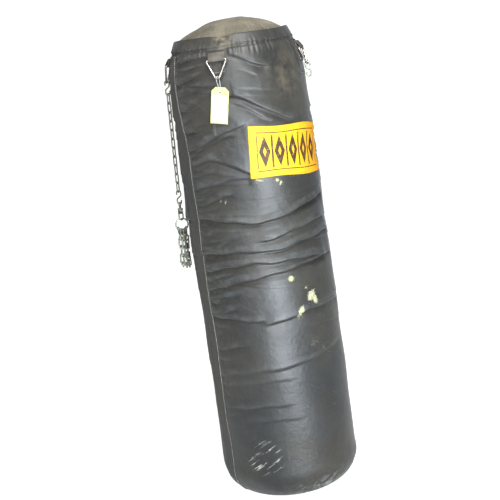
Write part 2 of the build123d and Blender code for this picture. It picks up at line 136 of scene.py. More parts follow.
class Surface:
    """A grid of points made into a mesh object, with a UV map in metres."""

    def __init__(self, name: str, points: Array, uv: Array | None = None) -> None:
        """Keep the grid.

        Args:
            name: Name of the piece.
            points: Array of rows by columns by 3.
            uv: Array of rows by columns by 2, or None. A grid closed round its columns has one
                more UV column than it has columns of points.
        """
        self.name = name
        self.points = points
        self.uv = uv

    def build(
        self, closed: bool = False, looped: bool = False, capped: bool = False, plugged: bool = False
    ) -> bpy.types.Object:
        """Join neighbouring points by quads and link the object to the scene.

        Args:
            closed: Whether the last column joins the first.
            looped: Whether the last row joins the first.
            capped: Whether fans to a middle point close the first and last rows.
            plugged: Whether one flat face closes the first row.

        Returns:
            The new object, smooth shaded, at the origin.
        """
        rows, cols = self.points.shape[:2]
        i, j = np.meshgrid(
            np.arange(rows if looped else rows - 1), np.arange(cols if closed else cols - 1), indexing="ij"
        )
        i, j = i.ravel(), j.ravel()
        ring = np.stack([i, i, i + 1, i + 1], 1) % rows
        spoke = np.stack([j, j + 1, j + 1, j], 1)
        faces = (ring * cols + spoke % cols).tolist()
        vertices = self.points.reshape(-1, 3)
        if capped:
            ends = self.points[[0, -1]].mean(axis=1)
            around = np.arange(cols)
            onward = (around + 1) % cols
            first = np.stack([onward, around, np.full(cols, rows * cols)], 1)
            top = (rows - 1) * cols
            last = np.stack([around + top, onward + top, np.full(cols, rows * cols + 1)], 1)
            faces += first.tolist() + last.tolist()
            vertices = np.concatenate([vertices, ends])
        if plugged:
            faces.append(list(range(cols - 1, -1, -1)))
        piece = linked_mesh(self.name, vertices, faces)
        mesh = piece.data
        if self.uv is not None:
            flat = self.uv[ring % self.uv.shape[0], spoke % self.uv.shape[1]].reshape(-1, 2)
            missing = len(mesh.loops) - len(flat)
            flat = np.concatenate([flat, np.zeros((missing, 2))])
            mesh.uv_layers.new(name="UVMap").data.foreach_set("uv", flat.astype(np.float32).ravel())
        mesh.update()
        return piece


def add_attribute(piece: bpy.types.Object, name: str, values: Array) -> None:
    """Put one number per vertex on a piece.

    Args:
        piece: The piece.
        name: Name of the attribute.
        values: Numbers in the order of the vertices. The centres of fans get their mean.
    """
    count = len(piece.data.vertices)
    padded = np.full(count, float(np.mean(values)), np.float32)
    padded[: values.size] = values.ravel()
    piece.data.attributes.new(name, "FLOAT", "POINT").data.foreach_set("value", padded)


def rounded_section(width: float, thick: float, count: int = 28, power: float = 6.0) -> Array:
    """Closed outline of a flat strip: a superellipse |x/a|^n + |y/b|^n = 1.

    Args:
        width: Full width along x.
        thick: Full thickness along y.
        count: Points round the outline.
        power: The exponent n; higher is squarer.

    Returns:
        Array of count by 2.
    """
    a = np.linspace(0.0, 2.0 * np.pi, count, endpoint=False)
    c, s = np.cos(a), np.sin(a)
    x = np.sign(c) * np.abs(c) ** (2.0 / power) * width / 2.0
    y = np.sign(s) * np.abs(s) ** (2.0 / power) * thick / 2.0
    return np.stack([x, y], 1)


def strip_along(centres: Array, across: Array, face: Array, width: float, thick: float) -> tuple[Array, Array]:
    """A strip's surface: its section carried along centre points.

    Args:
        centres: Middle points, n by 3.
        across: Unit vectors over the strip's width, n by 3.
        face: Unit vectors out of its face, n by 3.
        width: Full width.
        thick: Full thickness.

    Returns:
        Points of n by m by 3, and UVs of n by m + 1 by 2 in metres.
    """
    section = rounded_section(width, thick)
    points = (
        centres[:, None]
        + across[:, None] * section[None, :, 0:1]
        + face[:, None] * section[None, :, 1:2]
    )
    run = np.concatenate([[0.0], np.cumsum(np.linalg.norm(np.diff(centres, axis=0), axis=1))])
    wide = np.append(section[:, 0], section[0, 0])
    uv = np.stack(np.broadcast_arrays(wide[None], run[:, None]), -1)
    return points, uv


def resampled(path: Array, step: float) -> Array:
    """Points at even steps along a polyline, ends kept."""
    length = np.concatenate([[0.0], np.cumsum(np.linalg.norm(np.diff(path, axis=0), axis=1))])
    count = max(2, int(round(length[-1] / step)) + 1)
    at = np.linspace(0.0, length[-1], count)
    return np.stack([np.interp(at, length, path[:, k]) for k in range(3)], 1)


def tube_faces(count: int, rings: int, sides: int, mirrored: bool) -> list[list[int]]:
    """Faces of many equal tubes whose points follow each other: walls, then first and last ends.

    Args:
        count: Number of tubes.
        rings: Rings of points along each tube.
        sides: Points round each ring.
        mirrored: Whether the points run the other way round the tube, which turns every face over.

    Returns:
        Vertex numbers of each face.
    """
    i, j = (k.ravel() for k in np.meshgrid(np.arange(rings - 1), np.arange(sides), indexing="ij"))
    here, onward = i * sides + j, i * sides + (j + 1) % sides
    wall = [here, here + sides, onward + sides, onward]
    if mirrored:
        wall = [here, onward, onward + sides, here + sides]
    first, last = np.arange(sides), np.arange((rings - 1) * sides, rings * sides)
    first, last = (first[::-1], last) if mirrored else (first, last[::-1])
    starts = rings * sides * np.arange(count)
    faces = (np.stack(wall, 1)[None] + starts[:, None, None]).reshape(-1, 4).tolist()
    return faces + (first[None] + starts[:, None]).tolist() + (last[None] + starts[:, None]).tolist()


@dataclass(frozen=True)
class Stitching:
    """A row of sewing thread: short beads that dive into the cloth at both ends."""

    pitch: float = 0.0052
    share: float = 0.72
    radius: float = 0.00055
    rings: int = 7
    sides: int = 6

    def row(self, name: str, path: Array, normal: Array) -> bpy.types.Object:
        """Lay the stitches along a path.

        Each bead is an ellipse-ended tube: its radius is r sqrt(1 - t^4) for t from -1 to 1 along
        it, and its middle stands off the cloth while its ends sink by the same amount.

        Args:
            name: Name of the piece.
            path: Points on the cloth, n by 3.
            normal: Unit vectors off the cloth at those points, n by 3.

        Returns:
            The joined row as one object.
        """
        points = resampled(path, self.pitch)
        key = np.linspace(0.0, 1.0, len(path))
        at = np.linspace(0.0, 1.0, len(points))
        off = unit(np.stack([np.interp(at, key, normal[:, k]) for k in range(3)], 1))[:-1]
        along = unit(np.diff(points, axis=0))
        side = unit(np.cross(off, along))
        middle = (points[1:] + points[:-1]) / 2.0
        half = self.pitch * self.share / 2.0
        t = np.linspace(-0.98, 0.98, self.rings)
        around = np.linspace(0.0, 2.0 * np.pi, self.sides, endpoint=False)
        thick = self.radius * np.sqrt(1.0 - t**4)
        lift = self.radius * (0.8 - 1.1 * t**4)
        x = np.broadcast_to((half * t)[:, None], (self.rings, self.sides)).ravel()
        y = (thick[:, None] * np.cos(around)).ravel()
        z = (lift[:, None] + thick[:, None] * np.sin(around)).ravel()
        beads = (
            middle[:, None]
            + along[:, None] * x[None, :, None]
            + side[:, None] * y[None, :, None]
            + off[:, None] * z[None, :, None]
        )
        faces = tube_faces(len(middle), self.rings, self.sides, mirrored=False)
        return linked_mesh(name, beads.reshape(-1, 3), faces)


# ======== shader helpers ========
class Graph:
    """Short ways to add and join nodes in one shader tree."""

    def __init__(self, tree: bpy.types.NodeTree) -> None:
        """Keep the tree."""
        self.tree = tree

    def add(self, kind: str, inputs: dict | None = None, **settings: object) -> bpy.types.Node:
        """Add a node.

        Args:
            kind: Node type without its ShaderNode prefix.
            inputs: Values or sockets by input name or index.
            **settings: Properties of the node.

        Returns:
            The new node.
        """
        node = self.tree.nodes.new("ShaderNode" + kind)
        for key, value in settings.items():
            setattr(node, key, value)
        return self.fill(node, inputs or {})

    def fill(self, node: bpy.types.Node, inputs: dict) -> bpy.types.Node:
        """Give a node's inputs their values.

        Args:
            node: The node.
            inputs: Values, or sockets to link, by input name or index.

        Returns:
            The same node.
        """
        for key, value in inputs.items():
            if isinstance(value, bpy.types.NodeSocket):
                self.tree.links.new(value, node.inputs[key])
            else:
                node.inputs[key].default_value = value
        return node

    def math(self, operation: str, a: object, b: object = 0.0, c: object = 0.0) -> bpy.types.NodeSocket:
        """Output of a Math node."""
        return self.add("Math", {0: a, 1: b, 2: c}, operation=operation).outputs[0]

    def mix(self, factor: object, a: object, b: object) -> bpy.types.NodeSocket:
        """Colour a where factor is 0 and b where it is 1."""
        colours = [(*x, 1.0) if isinstance(x, tuple) and len(x) == 3 else x for x in (a, b)]
        return self.add("Mix", {0: factor, 6: colours[0], 7: colours[1]}, data_type="RGBA").outputs[2]

    def blend(self, factor: object, a: object, b: object) -> bpy.types.NodeSocket:
        """Number a where factor is 0 and b where it is 1."""
        return self.add("Mix", {0: factor, 2: a, 3: b}, data_type="FLOAT").outputs[0]

    def noise(self, vector: object, scale: float, detail: float = 4.0, rough: float = 0.55) -> bpy.types.NodeSocket:
        """Noise from 0 to 1 round about a half."""
        values = {"Vector": vector, "Scale": scale, "Detail": detail, "Roughness": rough}
        return self.add("TexNoise", values).outputs[0]

    def band(self, value: object, low: float, high: float) -> bpy.types.NodeSocket:
        """Smooth rise from 0 at low to 1 at high."""
        values = {"Value": value, 1: low, 2: high}
        return self.add("MapRange", values, interpolation_type="SMOOTHSTEP").outputs[0]

    def moved(self, vector: object, place: Place, turn: Place, size: Place) -> bpy.types.NodeSocket:
        """Vector measured from a place, in axes turned by turn, in units of size."""
        values = {"Vector": vector, "Location": place, "Rotation": turn, "Scale": size}
        return self.add("Mapping", values, vector_type="TEXTURE").outputs[0]

    def streaked(self, vector: object, turn: float, size: Place = (1.0, 1.0, 1.0)) -> bpy.types.NodeSocket:
        """Vector in axes turned by an angle in radians about Z, drawn out by size."""
        return self.moved(vector, (0.0, 0.0, 0.0), (0.0, 0.0, turn), size)

    def near(self, vector: object, place: Place, reach: float, soft: float = 0.4) -> bpy.types.NodeSocket:
        """1 at a place, falling to 0 at reach from it; soft is the share that fades."""
        gap = self.add("VectorMath", {0: vector, 1: place}, operation="DISTANCE").outputs[1]
        return self.math("SUBTRACT", 1.0, self.band(gap, reach * (1.0 - soft), reach))

    def group(self, name: str, inputs: dict) -> bpy.types.Node:
        """Place a shared node group with its own values."""
        return self.fill(self.add("Group", node_tree=bpy.data.node_groups[name]), inputs)


class SharedEffects:
    """The node groups that more than one finish uses."""

    @staticmethod
    def start(name: str, inputs: dict[str, tuple[str, float]], outputs: tuple[str, ...]) -> tuple:
        """Make an empty group.

        Args:
            name: Name of the group.
            inputs: Socket kind and default by socket name.
            outputs: Names of number outputs.

        Returns:
            Its graph, its input node and its output node.
        """
        tree = bpy.data.node_groups.new(name, "ShaderNodeTree")
        for key, (kind, default) in inputs.items():
            socket = tree.interface.new_socket(name=key, in_out="INPUT", socket_type="NodeSocket" + kind)
            if kind == "Float":
                socket.default_value = default
        for key in outputs:
            tree.interface.new_socket(name=key, in_out="OUTPUT", socket_type="NodeSocketFloat")
        return Graph(tree), tree.nodes.new("NodeGroupInput"), tree.nodes.new("NodeGroupOutput")

    def weave(self) -> None:
        """Plain weave: half plus half of sin(x) sin(y), each thread Pitch wide."""
        inputs = {"Vector": ("Vector", 0.0), "Pitch": ("Float", 0.0006)}
        g, given, out = self.start("plain_weave", inputs, ("Height",))
        parts = g.add("SeparateXYZ", {0: given.outputs["Vector"]})
        waves = [
            g.math("SINE", g.math("DIVIDE", g.math("MULTIPLY", parts.outputs[k], math.pi), given.outputs["Pitch"]))
            for k in (0, 1)
        ]
        height = g.math("MULTIPLY_ADD", g.math("MULTIPLY", waves[0], waves[1]), 0.5, 0.5)
        g.tree.links.new(height, out.inputs["Height"])

    def dust(self) -> None:
        """Dust: coarse noise broken by fine noise, more where Settle is high."""
        inputs = {
            "Vector": ("Vector", 0.0), "Amount": ("Float", 0.3), "Scale": ("Float", 9.0), "Settle": ("Float", 0.0),
        }
        g, given, out = self.start("dust_veil", inputs, ("Mask",))
        vector, scale = given.outputs["Vector"], given.outputs["Scale"]
        coarse = g.noise(vector, scale, 5.0, 0.6)
        fine = g.noise(vector, g.math("MULTIPLY", scale, 22.0), 3.0, 0.7)
        both = g.math("MULTIPLY_ADD", fine, 0.35, g.math("MULTIPLY", coarse, 0.75))
        raised = g.math("ADD", both, g.math("MULTIPLY", given.outputs["Settle"], 0.3))
        mask = g.math("MULTIPLY", g.band(raised, 0.45, 0.85), given.outputs["Amount"])
        g.tree.links.new(mask, out.inputs["Mask"])

    def scuffs(self) -> None:
        """Fine scratches: the thin middle of noise stretched along one direction."""
        inputs = {"Vector": ("Vector", 0.0), "Scale": ("Float", 60.0), "Width": ("Float", 0.02)}
        g, given, out = self.start("scuffs", inputs, ("Mask",))
        value = g.noise(given.outputs["Vector"], given.outputs["Scale"], 2.0, 0.5)
        gap = g.math("ABSOLUTE", g.math("SUBTRACT", value, 0.5))
        line = g.math("LESS_THAN", gap, given.outputs["Width"])
        coarse = g.math("MULTIPLY", given.outputs["Scale"], 0.4)
        patchy = g.band(g.noise(given.outputs["Vector"], coarse), 0.54, 0.66)
        g.tree.links.new(g.math("MULTIPLY", line, patchy), out.inputs["Mask"])

    def tarnish(self) -> None:
        """Dull blotches on plated metal: two sizes of noise multiplied."""
        inputs = {"Vector": ("Vector", 0.0), "Scale": ("Float", 90.0), "Amount": ("Float", 0.5)}
        g, given, out = self.start("tarnish", inputs, ("Mask",))
        vector, scale = given.outputs["Vector"], given.outputs["Scale"]
        large = g.noise(vector, scale, 4.0, 0.6)
        small = g.noise(vector, g.math("MULTIPLY", scale, 7.0), 2.0, 0.6)
        both = g.band(g.math("MULTIPLY", g.math("ADD", large, 0.45), small), 0.4, 0.65)
        g.tree.links.new(g.math("MULTIPLY", both, given.outputs["Amount"]), out.inputs["Mask"])

    def build(self) -> None:
        """Make every group once."""
        self.weave()
        self.dust()
        self.scuffs()
        self.tarnish()


class Coordinates(Enum):
    """What a finish follows."""

    OBJECT = "Object"
    SURFACE = "UV"


@dataclass(frozen=True)
class Finish:
    """A Principled material. Each kind of finish adds its own nodes in dress()."""

    name: str
    colour: Colour = (0.5, 0.5, 0.5)
    rough: float = 0.5

    def make(self) -> bpy.types.Material:
        """Build the material, or find it if it is already there.

        Returns:
            The material, named finish_ and this finish's name.
        """
        name = "finish_" + self.name
        if name in bpy.data.materials:
            return bpy.data.materials[name]
        material = bpy.data.materials.new(name)
        material.use_nodes = True
        tree = material.node_tree
        shader = tree.nodes["Principled BSDF"]
        shader.inputs["Roughness"].default_value = self.rough
        self.dress(Graph(tree), shader)
        return material

    def dress(self, g: Graph, shader: bpy.types.Node) -> None:
        """Join this finish's nodes to the shader.

        Args:
            g: The material's graph.
            shader: Its Principled shader.
        """
        raise NotImplementedError

    @staticmethod
    def vector(g: Graph, kind: Coordinates) -> bpy.types.NodeSocket:
        """Coordinates for a pattern, in metres."""
        return g.add("TexCoord").outputs[kind.value]

    @staticmethod
    def wire(g: Graph, shader: bpy.types.Node, **sockets: bpy.types.NodeSocket) -> None:
        """Link sockets to the shader's inputs, with spaces written as underscores."""
        for key, socket in sockets.items():
            g.tree.links.new(socket, shader.inputs[key.replace("_", " ")])

    @staticmethod
    def relief(g: Graph, *layers: tuple[object, float]) -> bpy.types.NodeSocket:
        """Lay bumps one on another.

        Args:
            g: The material's graph.
            *layers: A height socket and its depth in metres for each bump.

        Returns:
            The last bump's normal.
        """
        normal = None
        for height, depth in layers:
            values = {"Height": height, "Distance": depth, "Strength": 1.0}
            if normal is not None:
                values["Normal"] = normal
            normal = g.add("Bump", values).outputs[0]
        return normal

    @staticmethod
    def woven(g: Graph, cloth: object, pitch: float) -> bpy.types.NodeSocket:
        """Height of a plain weave whose threads are pitch wide."""
        return g.group("plain_weave", {"Vector": cloth, "Pitch": pitch}).outputs["Height"]

    @staticmethod
    def dusted(
        g: Graph, space: object, base: object, dust: Colour, amount: float, scale: float, settle: float = 0.0
    ) -> bpy.types.NodeSocket:
        """Lay a veil of dust on a colour.

        Args:
            g: The material's graph.
            space: Coordinates in metres.
            base: Colour under the dust.
            dust: The dust's own colour.
            amount: Share of the colour that the dust covers where it is thickest.
            scale: Blotches to a metre.
            settle: How much more of the surface it reaches.

        Returns:
            The dusty colour.
        """
        values = {"Vector": space, "Amount": amount, "Scale": scale, "Settle": settle}
        return g.mix(g.group("dust_veil", values).outputs["Mask"], base, dust)

    def on(self, *pieces: bpy.types.Object) -> None:
        """Put the material alone on pieces, in every slot of a carried-over node."""
        material = self.make()
        for piece in pieces:
            if len(piece.material_slots) and "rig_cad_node" in piece:
                for holder in piece.material_slots:
                    holder.material = material
            else:
                piece.data.materials.clear()
                piece.data.materials.append(material)


@dataclass(frozen=True)
class Tear:
    """A place where the coating has flaked off: where, how large, how turned and how ragged."""

    angle: float
    height: float
    wide: float
    tall: float
    turn: float
    ragged: float


TEARS = (
    Tear(20.9, 0.558, 0.015, 0.014, 0.4, 0.42),
    Tear(37.3, 0.506, 0.03, 0.02, -0.7, 0.34),
    Tear(40.8, 0.495, 0.014, 0.024, -0.2, 0.3),
    Tear(25.2, 0.475, 0.015, 0.03, 0.5, 0.3),
    Tear(33.2, 0.528, 0.0045, 0.004, 0.0, 0.15),
    Tear(6.4, 0.8, 0.02, 0.0045, 0.25, 0.3),
    Tear(20.5, 0.795, 0.01, 0.007, 0.9, 0.35),
    Tear(23.2, 0.787, 0.006, 0.011, 0.5, 0.35),
    Tear(-28.2, 0.762, 0.0022, 0.002, 0.0, 0.05),
    Tear(-24.0, 0.757, 0.0016, 0.005, 0.5, 0.1),
)


@dataclass(frozen=True)
class CoatedNylon(Finish):
    """Worn satin coating over woven nylon: rubbed ridges, hollows darkened with painted shade, scratches, a scraped
    foot.
    """

    worn: Colour = (0.11, 0.118, 0.125)
    warm: Colour = (0.0155, 0.014, 0.0105)
    # Near-black colour of the painted shade laid into the folds' creases.
    crease_shade: Colour = (0.009, 0.008, 0.006)
    dust: Colour = (0.13, 0.115, 0.085)
    scraped: Colour = (0.3, 0.3, 0.29)
    backing: Colour = (0.42, 0.42, 0.26)
    backing_shade: Colour = (0.17, 0.165, 0.09)
    shoulder_dust: Colour = (0.17, 0.14, 0.09)
    collar_smear: Colour = (0.2, 0.165, 0.095)
    dusty_shoulder: Place = (0.115, -0.112, 1.03)
    smeared_collar: Place = (-0.02, -0.142, 1.128)
    scraped_wall: Place = (-0.066, -0.158, 0.124)
    chafed_foot: Place = (0.09, -0.118, 0.02)

    def scratches(self, g: Graph, cloth: object, turn: float, scale: float, width: float) -> object:
        """Thin scratches along one direction of the cloth."""
        along = g.streaked(cloth, math.radians(turn), (5.0, 0.45, 1.0))
        return g.group("scuffs", {"Vector": along, "Scale": scale, "Width": width}).outputs["Mask"]

    def flaked(self, g: Graph, space: object) -> object:
        """Find where the coating is gone: ellipses on the wall with edges broken by streaky noise.

        Args:
            g: The material's graph.
            space: Coordinates in metres.

        Returns:
            Mask, 1 where the backing shows.
        """
        whole = None
        for tear in TEARS:
            a = math.radians(tear.angle)
            centre = (TORN_WALL * math.sin(a), -TORN_WALL * math.cos(a), tear.height)
            local = g.moved(space, centre, (0.0, tear.turn, a), (tear.wide / 2.0, 0.05, tear.tall / 2.0))
            reach = g.add("VectorMath", {0: local}, operation="LENGTH").outputs[1]
            streaks = g.add("Mapping", {"Vector": local, "Scale": (1.1, 0.1, 4.2)}).outputs[0]
            break_up = g.math("SUBTRACT", g.noise(streaks, 1.7, 3.0, 0.65), 0.5)
            chips = g.math("SUBTRACT", g.noise(space, 330.0, 2.0, 0.6), 0.5)
            edge = g.math("MULTIPLY_ADD", break_up, tear.ragged * 5.0, reach)
            edge = g.math("MULTIPLY_ADD", chips, 1.5, edge)
            mask = g.math("SUBTRACT", 1.0, g.band(edge, 0.82, 0.95))
            whole = mask if whole is None else g.math("MAXIMUM", whole, mask)
        return whole

    def dress(self, g: Graph, shader: bpy.types.Node) -> None:
        """Colour from wear and dust plus painted shade in the hollows, gloss from handling, relief from the weave
        and grain.

        Args:
            g: The material's graph.
            shader: Its Principled shader.
        """
        space = self.vector(g, Coordinates.OBJECT)
        cloth = self.vector(g, Coordinates.SURFACE)
        ridge = g.add("Attribute", attribute_name="ridge").outputs["Fac"]
        hollow = g.add("Attribute", attribute_name="hollow").outputs["Fac"]
        height = g.add("SeparateXYZ", {0: space}).outputs[2]
        cloudy = g.noise(space, 5.0, 5.0, 0.6)
        fine = g.noise(space, 420.0, 3.0, 0.6)
        base = g.mix(g.band(cloudy, 0.35, 0.7), self.colour, self.warm)
        # Painted shade: the hollow attribute darkens the creases of the folds towards a near-black colour.
        base = g.mix(g.math("MULTIPLY", hollow, 0.75), base, self.crease_shade)
        rubbed = g.math("MULTIPLY", ridge, g.band(g.noise(space, 38.0, 4.0, 0.65), 0.3, 0.75))
        base = g.mix(g.math("MULTIPLY", rubbed, 0.3), base, self.worn)
        base = self.dusted(g, space, base, self.dust, 0.16, 6.0, 0.1)
        shoulder = g.near(space, self.dusty_shoulder, 0.085, 0.8)
        shoulder = g.math("MULTIPLY", shoulder, g.band(g.noise(space, 26.0, 5.0, 0.7), 0.4, 0.65))
        base = g.mix(g.math("MULTIPLY", shoulder, 0.3), base, self.shoulder_dust)
        faint = g.math("MULTIPLY", self.scratches(g, cloth, -38.0, 22.0, 0.0035), 0.14)
        rising = self.scratches(g, cloth, 33.0, 190.0, 0.055)
        scrape_zone = g.near(space, self.scraped_wall, 0.056, 0.45)
        scrape = g.math("MULTIPLY", scrape_zone, rising)
        low = g.math("SUBTRACT", 1.0, g.band(height, 0.012, 0.075))
        chafe = g.noise(g.streaked(cloth, 0.6, (2.0, 0.7, 1.0)), 75.0, 6.0, 0.75)
        chafe = g.band(chafe, 0.5, 0.62)
        chafe_zone = g.near(space, self.chafed_foot, 0.13, 0.8)
        chafe = g.math("MULTIPLY", g.math("MULTIPLY", low, chafe), g.math("MULTIPLY_ADD", chafe_zone, 0.85, 0.12))
        speck = g.band(g.add("TexVoronoi", {"Vector": space, "Scale": 26.0}).outputs["Distance"], 0.035, 0.02)
        rare = g.band(g.noise(space, 5.0, 1.0), 0.62, 0.66)
        specks = g.math("MULTIPLY", g.math("MULTIPLY", speck, rare), 0.6)
        marks = g.math("MAXIMUM", g.math("MAXIMUM", faint, chafe), g.math("MAXIMUM", scrape, specks))
        base = g.mix(marks, base, self.scraped)
        smear = g.near(space, self.smeared_collar, 0.036, 0.8)
        smear = g.math("MULTIPLY", smear, g.band(g.noise(space, 70.0, 5.0, 0.7), 0.36, 0.66))
        base = g.mix(g.math("MULTIPLY", smear, 0.6), base, self.collar_smear)
        gone = self.flaked(g, space)
        strands = g.noise(g.streaked(cloth, -0.7, (2.5, 0.5, 1.0)), 650.0, 3.0, 0.7)
        bared = g.mix(g.band(strands, 0.4, 0.56), self.backing_shade, self.backing)
        base = g.mix(gone, base, bared)
        rough = g.blend(g.band(cloudy, 0.25, 0.8), self.rough - 0.06, self.rough)
        rough = g.math("MULTIPLY_ADD", fine, 0.1, rough)
        rough = g.math("ADD", rough, g.math("MULTIPLY", g.math("MAXIMUM", marks, gone), 0.3))
        woven = self.woven(g, cloth, 0.00055)
        slack = g.noise(space, 45.0, 4.0, 0.6)
        depth = g.math("MULTIPLY_ADD", gone, -1.0, g.math("MULTIPLY", g.math("MULTIPLY", gone, strands), 0.9))
        normal = self.relief(g, (slack, 0.0012), (fine, 0.0001), (woven, 0.00004), (depth, 0.0007))
        self.wire(g, shader, Base_Color=base, Roughness=rough, Normal=normal)
        shader.inputs["Specular IOR Level"].default_value = 0.5
        shader.inputs["Sheen Weight"].default_value = 0.1
        shader.inputs["Sheen Roughness"].default_value = 0.5


@dataclass(frozen=True)
class Canvas(Finish):
    """Coarse dusty cloth with stains and pale specks."""

    dust: Colour = (0.23, 0.205, 0.15)
    pitch: float = 0.0012

    def dress(self, g: Graph, shader: bpy.types.Node) -> None:
        """Thread colour, blotchy dust and flecks over a visible weave.

        Args:
            g: The material's graph.
            shader: Its Principled shader.
        """
        space = self.vector(g, Coordinates.OBJECT)
        cloth = self.vector(g, Coordinates.SURFACE)
        woven = self.woven(g, cloth, self.pitch)
        dark = tuple(c * 0.55 for c in self.colour)
        base = g.mix(woven, dark, self.colour)
        blotch = g.noise(space, 14.0, 6.0, 0.65)
        base = g.mix(g.math("MULTIPLY", g.band(blotch, 0.35, 0.7), 0.6), base, tuple(c * 0.5 for c in self.colour))
        base = self.dusted(g, space, base, self.dust, 0.75, 16.0, 0.35)
        fleck = g.band(g.noise(space, 330.0, 2.0, 0.5), 0.68, 0.74)
        base = g.mix(g.math("MULTIPLY", fleck, 0.7), base, (0.6, 0.56, 0.45))
        rough = g.math("MULTIPLY_ADD", blotch, 0.15, self.rough)
        normal = self.relief(g, (blotch, 0.0015), (woven, 0.00025))
        self.wire(g, shader, Base_Color=base, Roughness=rough, Normal=normal)


@dataclass(frozen=True)
class Webbing(Finish):
    """Flat woven strap: thick ribs across, a finer weave along, faded and dusty."""

    faded: Colour = (0.13, 0.115, 0.095)
    rib: float = 0.0016

    def dress(self, g: Graph, shader: bpy.types.Node) -> None:
        """Ribbed weave, faded where it is handled.

        Args:
            g: The material's graph.
            shader: Its Principled shader.
        """
        space = self.vector(g, Coordinates.OBJECT)
        cloth = self.vector(g, Coordinates.SURFACE)
        woven = self.woven(g, cloth, self.rib)
        fade = g.band(g.noise(space, 48.0, 4.0, 0.6), 0.35, 0.7)
        base = g.mix(g.math("MULTIPLY", fade, 0.8), self.colour, self.faded)
        base = g.mix(g.math("MULTIPLY", woven, 0.35), base, tuple(c * 0.4 for c in self.colour))
        base = self.dusted(g, space, base, (0.2, 0.17, 0.12), 0.3, 30.0, 0.2)
        rough = g.math("MULTIPLY_ADD", fade, 0.15, self.rough)
        normal = self.relief(g, (fade, 0.0002), (woven, 0.0003))
        self.wire(g, shader, Base_Color=base, Roughness=rough, Normal=normal)


@dataclass(frozen=True)
class PrintedPatch(Finish):
    """Bright woven badge, warmer towards one end, printed with a row of plain diamonds and bars."""

    warm: Colour = (0.56, 0.21, 0.002)
    ink: Colour = (0.035, 0.012, 0.006)
    width: float = 0.224
    depth: float = 0.118
    diamonds: float = 5.0

    def dress(self, g: Graph, shader: bpy.types.Node) -> None:
        """Print from the patch's own UVs, whose origin is its middle.

        Args:
            g: The material's graph.
            shader: Its Principled shader.
        """
        cloth = self.vector(g, Coordinates.SURFACE)
        space = self.vector(g, Coordinates.OBJECT)
        parts = g.add("SeparateXYZ", {0: cloth})
        x, y = parts.outputs[0], parts.outputs[1]
        warmth = g.band(x, -self.width * 0.1, self.width * 0.55)
        base = g.mix(g.math("MULTIPLY", warmth, 0.8), self.colour, self.warm)
        pitch = self.width * 0.84 / self.diamonds
        along = g.math("DIVIDE", g.math("ADD", x, self.width * 0.42), pitch)
        cell = g.math("SUBTRACT", g.math("FRACT", along), 0.5)
        across = g.math("ABSOLUTE", cell)
        up = g.math("ABSOLUTE", g.math("DIVIDE", y, self.depth * 0.62))
        inside = g.math("LESS_THAN", g.math("ABSOLUTE", x), self.width * 0.42)
        rhombus = g.math("ADD", g.math("MULTIPLY", across, 2.7), g.math("MULTIPLY", up, 2.0))
        solid = g.math("LESS_THAN", rhombus, 1.0)
        core = g.math("LESS_THAN", rhombus, 0.3)
        bar = g.math("MULTIPLY", g.math("GREATER_THAN", across, 0.44), g.math("LESS_THAN", up, 0.52))
        shape = g.math("MAXIMUM", g.math("SUBTRACT", solid, core), bar)
        rule_gap = g.math("ABSOLUTE", g.math("SUBTRACT", g.math("ABSOLUTE", y), self.depth * 0.37))
        rule = g.math("LESS_THAN", rule_gap, 0.0011)
        shape = g.math("MULTIPLY", g.math("MAXIMUM", shape, rule), inside)
        worn = g.band(g.noise(space, 210.0, 4.0, 0.7), 0.3, 0.42)
        base = g.mix(g.math("MULTIPLY", shape, worn), base, self.ink)
        base = self.dusted(g, space, base, (0.3, 0.15, 0.02), 0.22, 24.0)
        woven = self.woven(g, cloth, 0.0007)
        soft = g.noise(space, 60.0, 3.0, 0.6)
        rough = g.math("MULTIPLY_ADD", soft, 0.2, self.rough)
        normal = self.relief(g, (soft, 0.0005), (woven, 0.00008))
        self.wire(g, shader, Base_Color=base, Roughness=rough, Normal=normal)


@dataclass(frozen=True)
class PlatedMetal(Finish):
    """Plated steel wire with dull blotches, drawing lines and grime."""

    dull: Colour = (0.3, 0.3, 0.26)
    grime: float = 0.5
    shine: float = 1.0

    def dress(self, g: Graph, shader: bpy.types.Node) -> None:
        """Bright metal that turns dull and rough in blotches.

        Args:
            g: The material's graph.
            shader: Its Principled shader.
        """
        space = self.vector(g, Coordinates.OBJECT)
        blotch = g.group("tarnish", {"Vector": space, "Scale": 85.0, "Amount": self.grime}).outputs["Mask"]
        lines = g.noise(g.streaked(space, 0.0, (1.0, 1.0, 8.0)), 700.0, 2.0)
        tint = g.mix(g.noise(space, 160.0, 3.0), tuple(c * 0.82 for c in self.colour), self.colour)
        base = g.mix(blotch, tint, self.dull)
        rough = g.math("ADD", g.math("MULTIPLY_ADD", blotch, 0.3, self.rough), g.math("MULTIPLY", lines, 0.1))
        metal = g.math("MULTIPLY_ADD", blotch, -0.35, self.shine)
        normal = self.relief(g, (g.noise(space, 260.0, 3.0), 0.00008), (lines, 0.00002))
        self.wire(g, shader, Base_Color=base, Roughness=rough, Metallic=metal, Normal=normal)


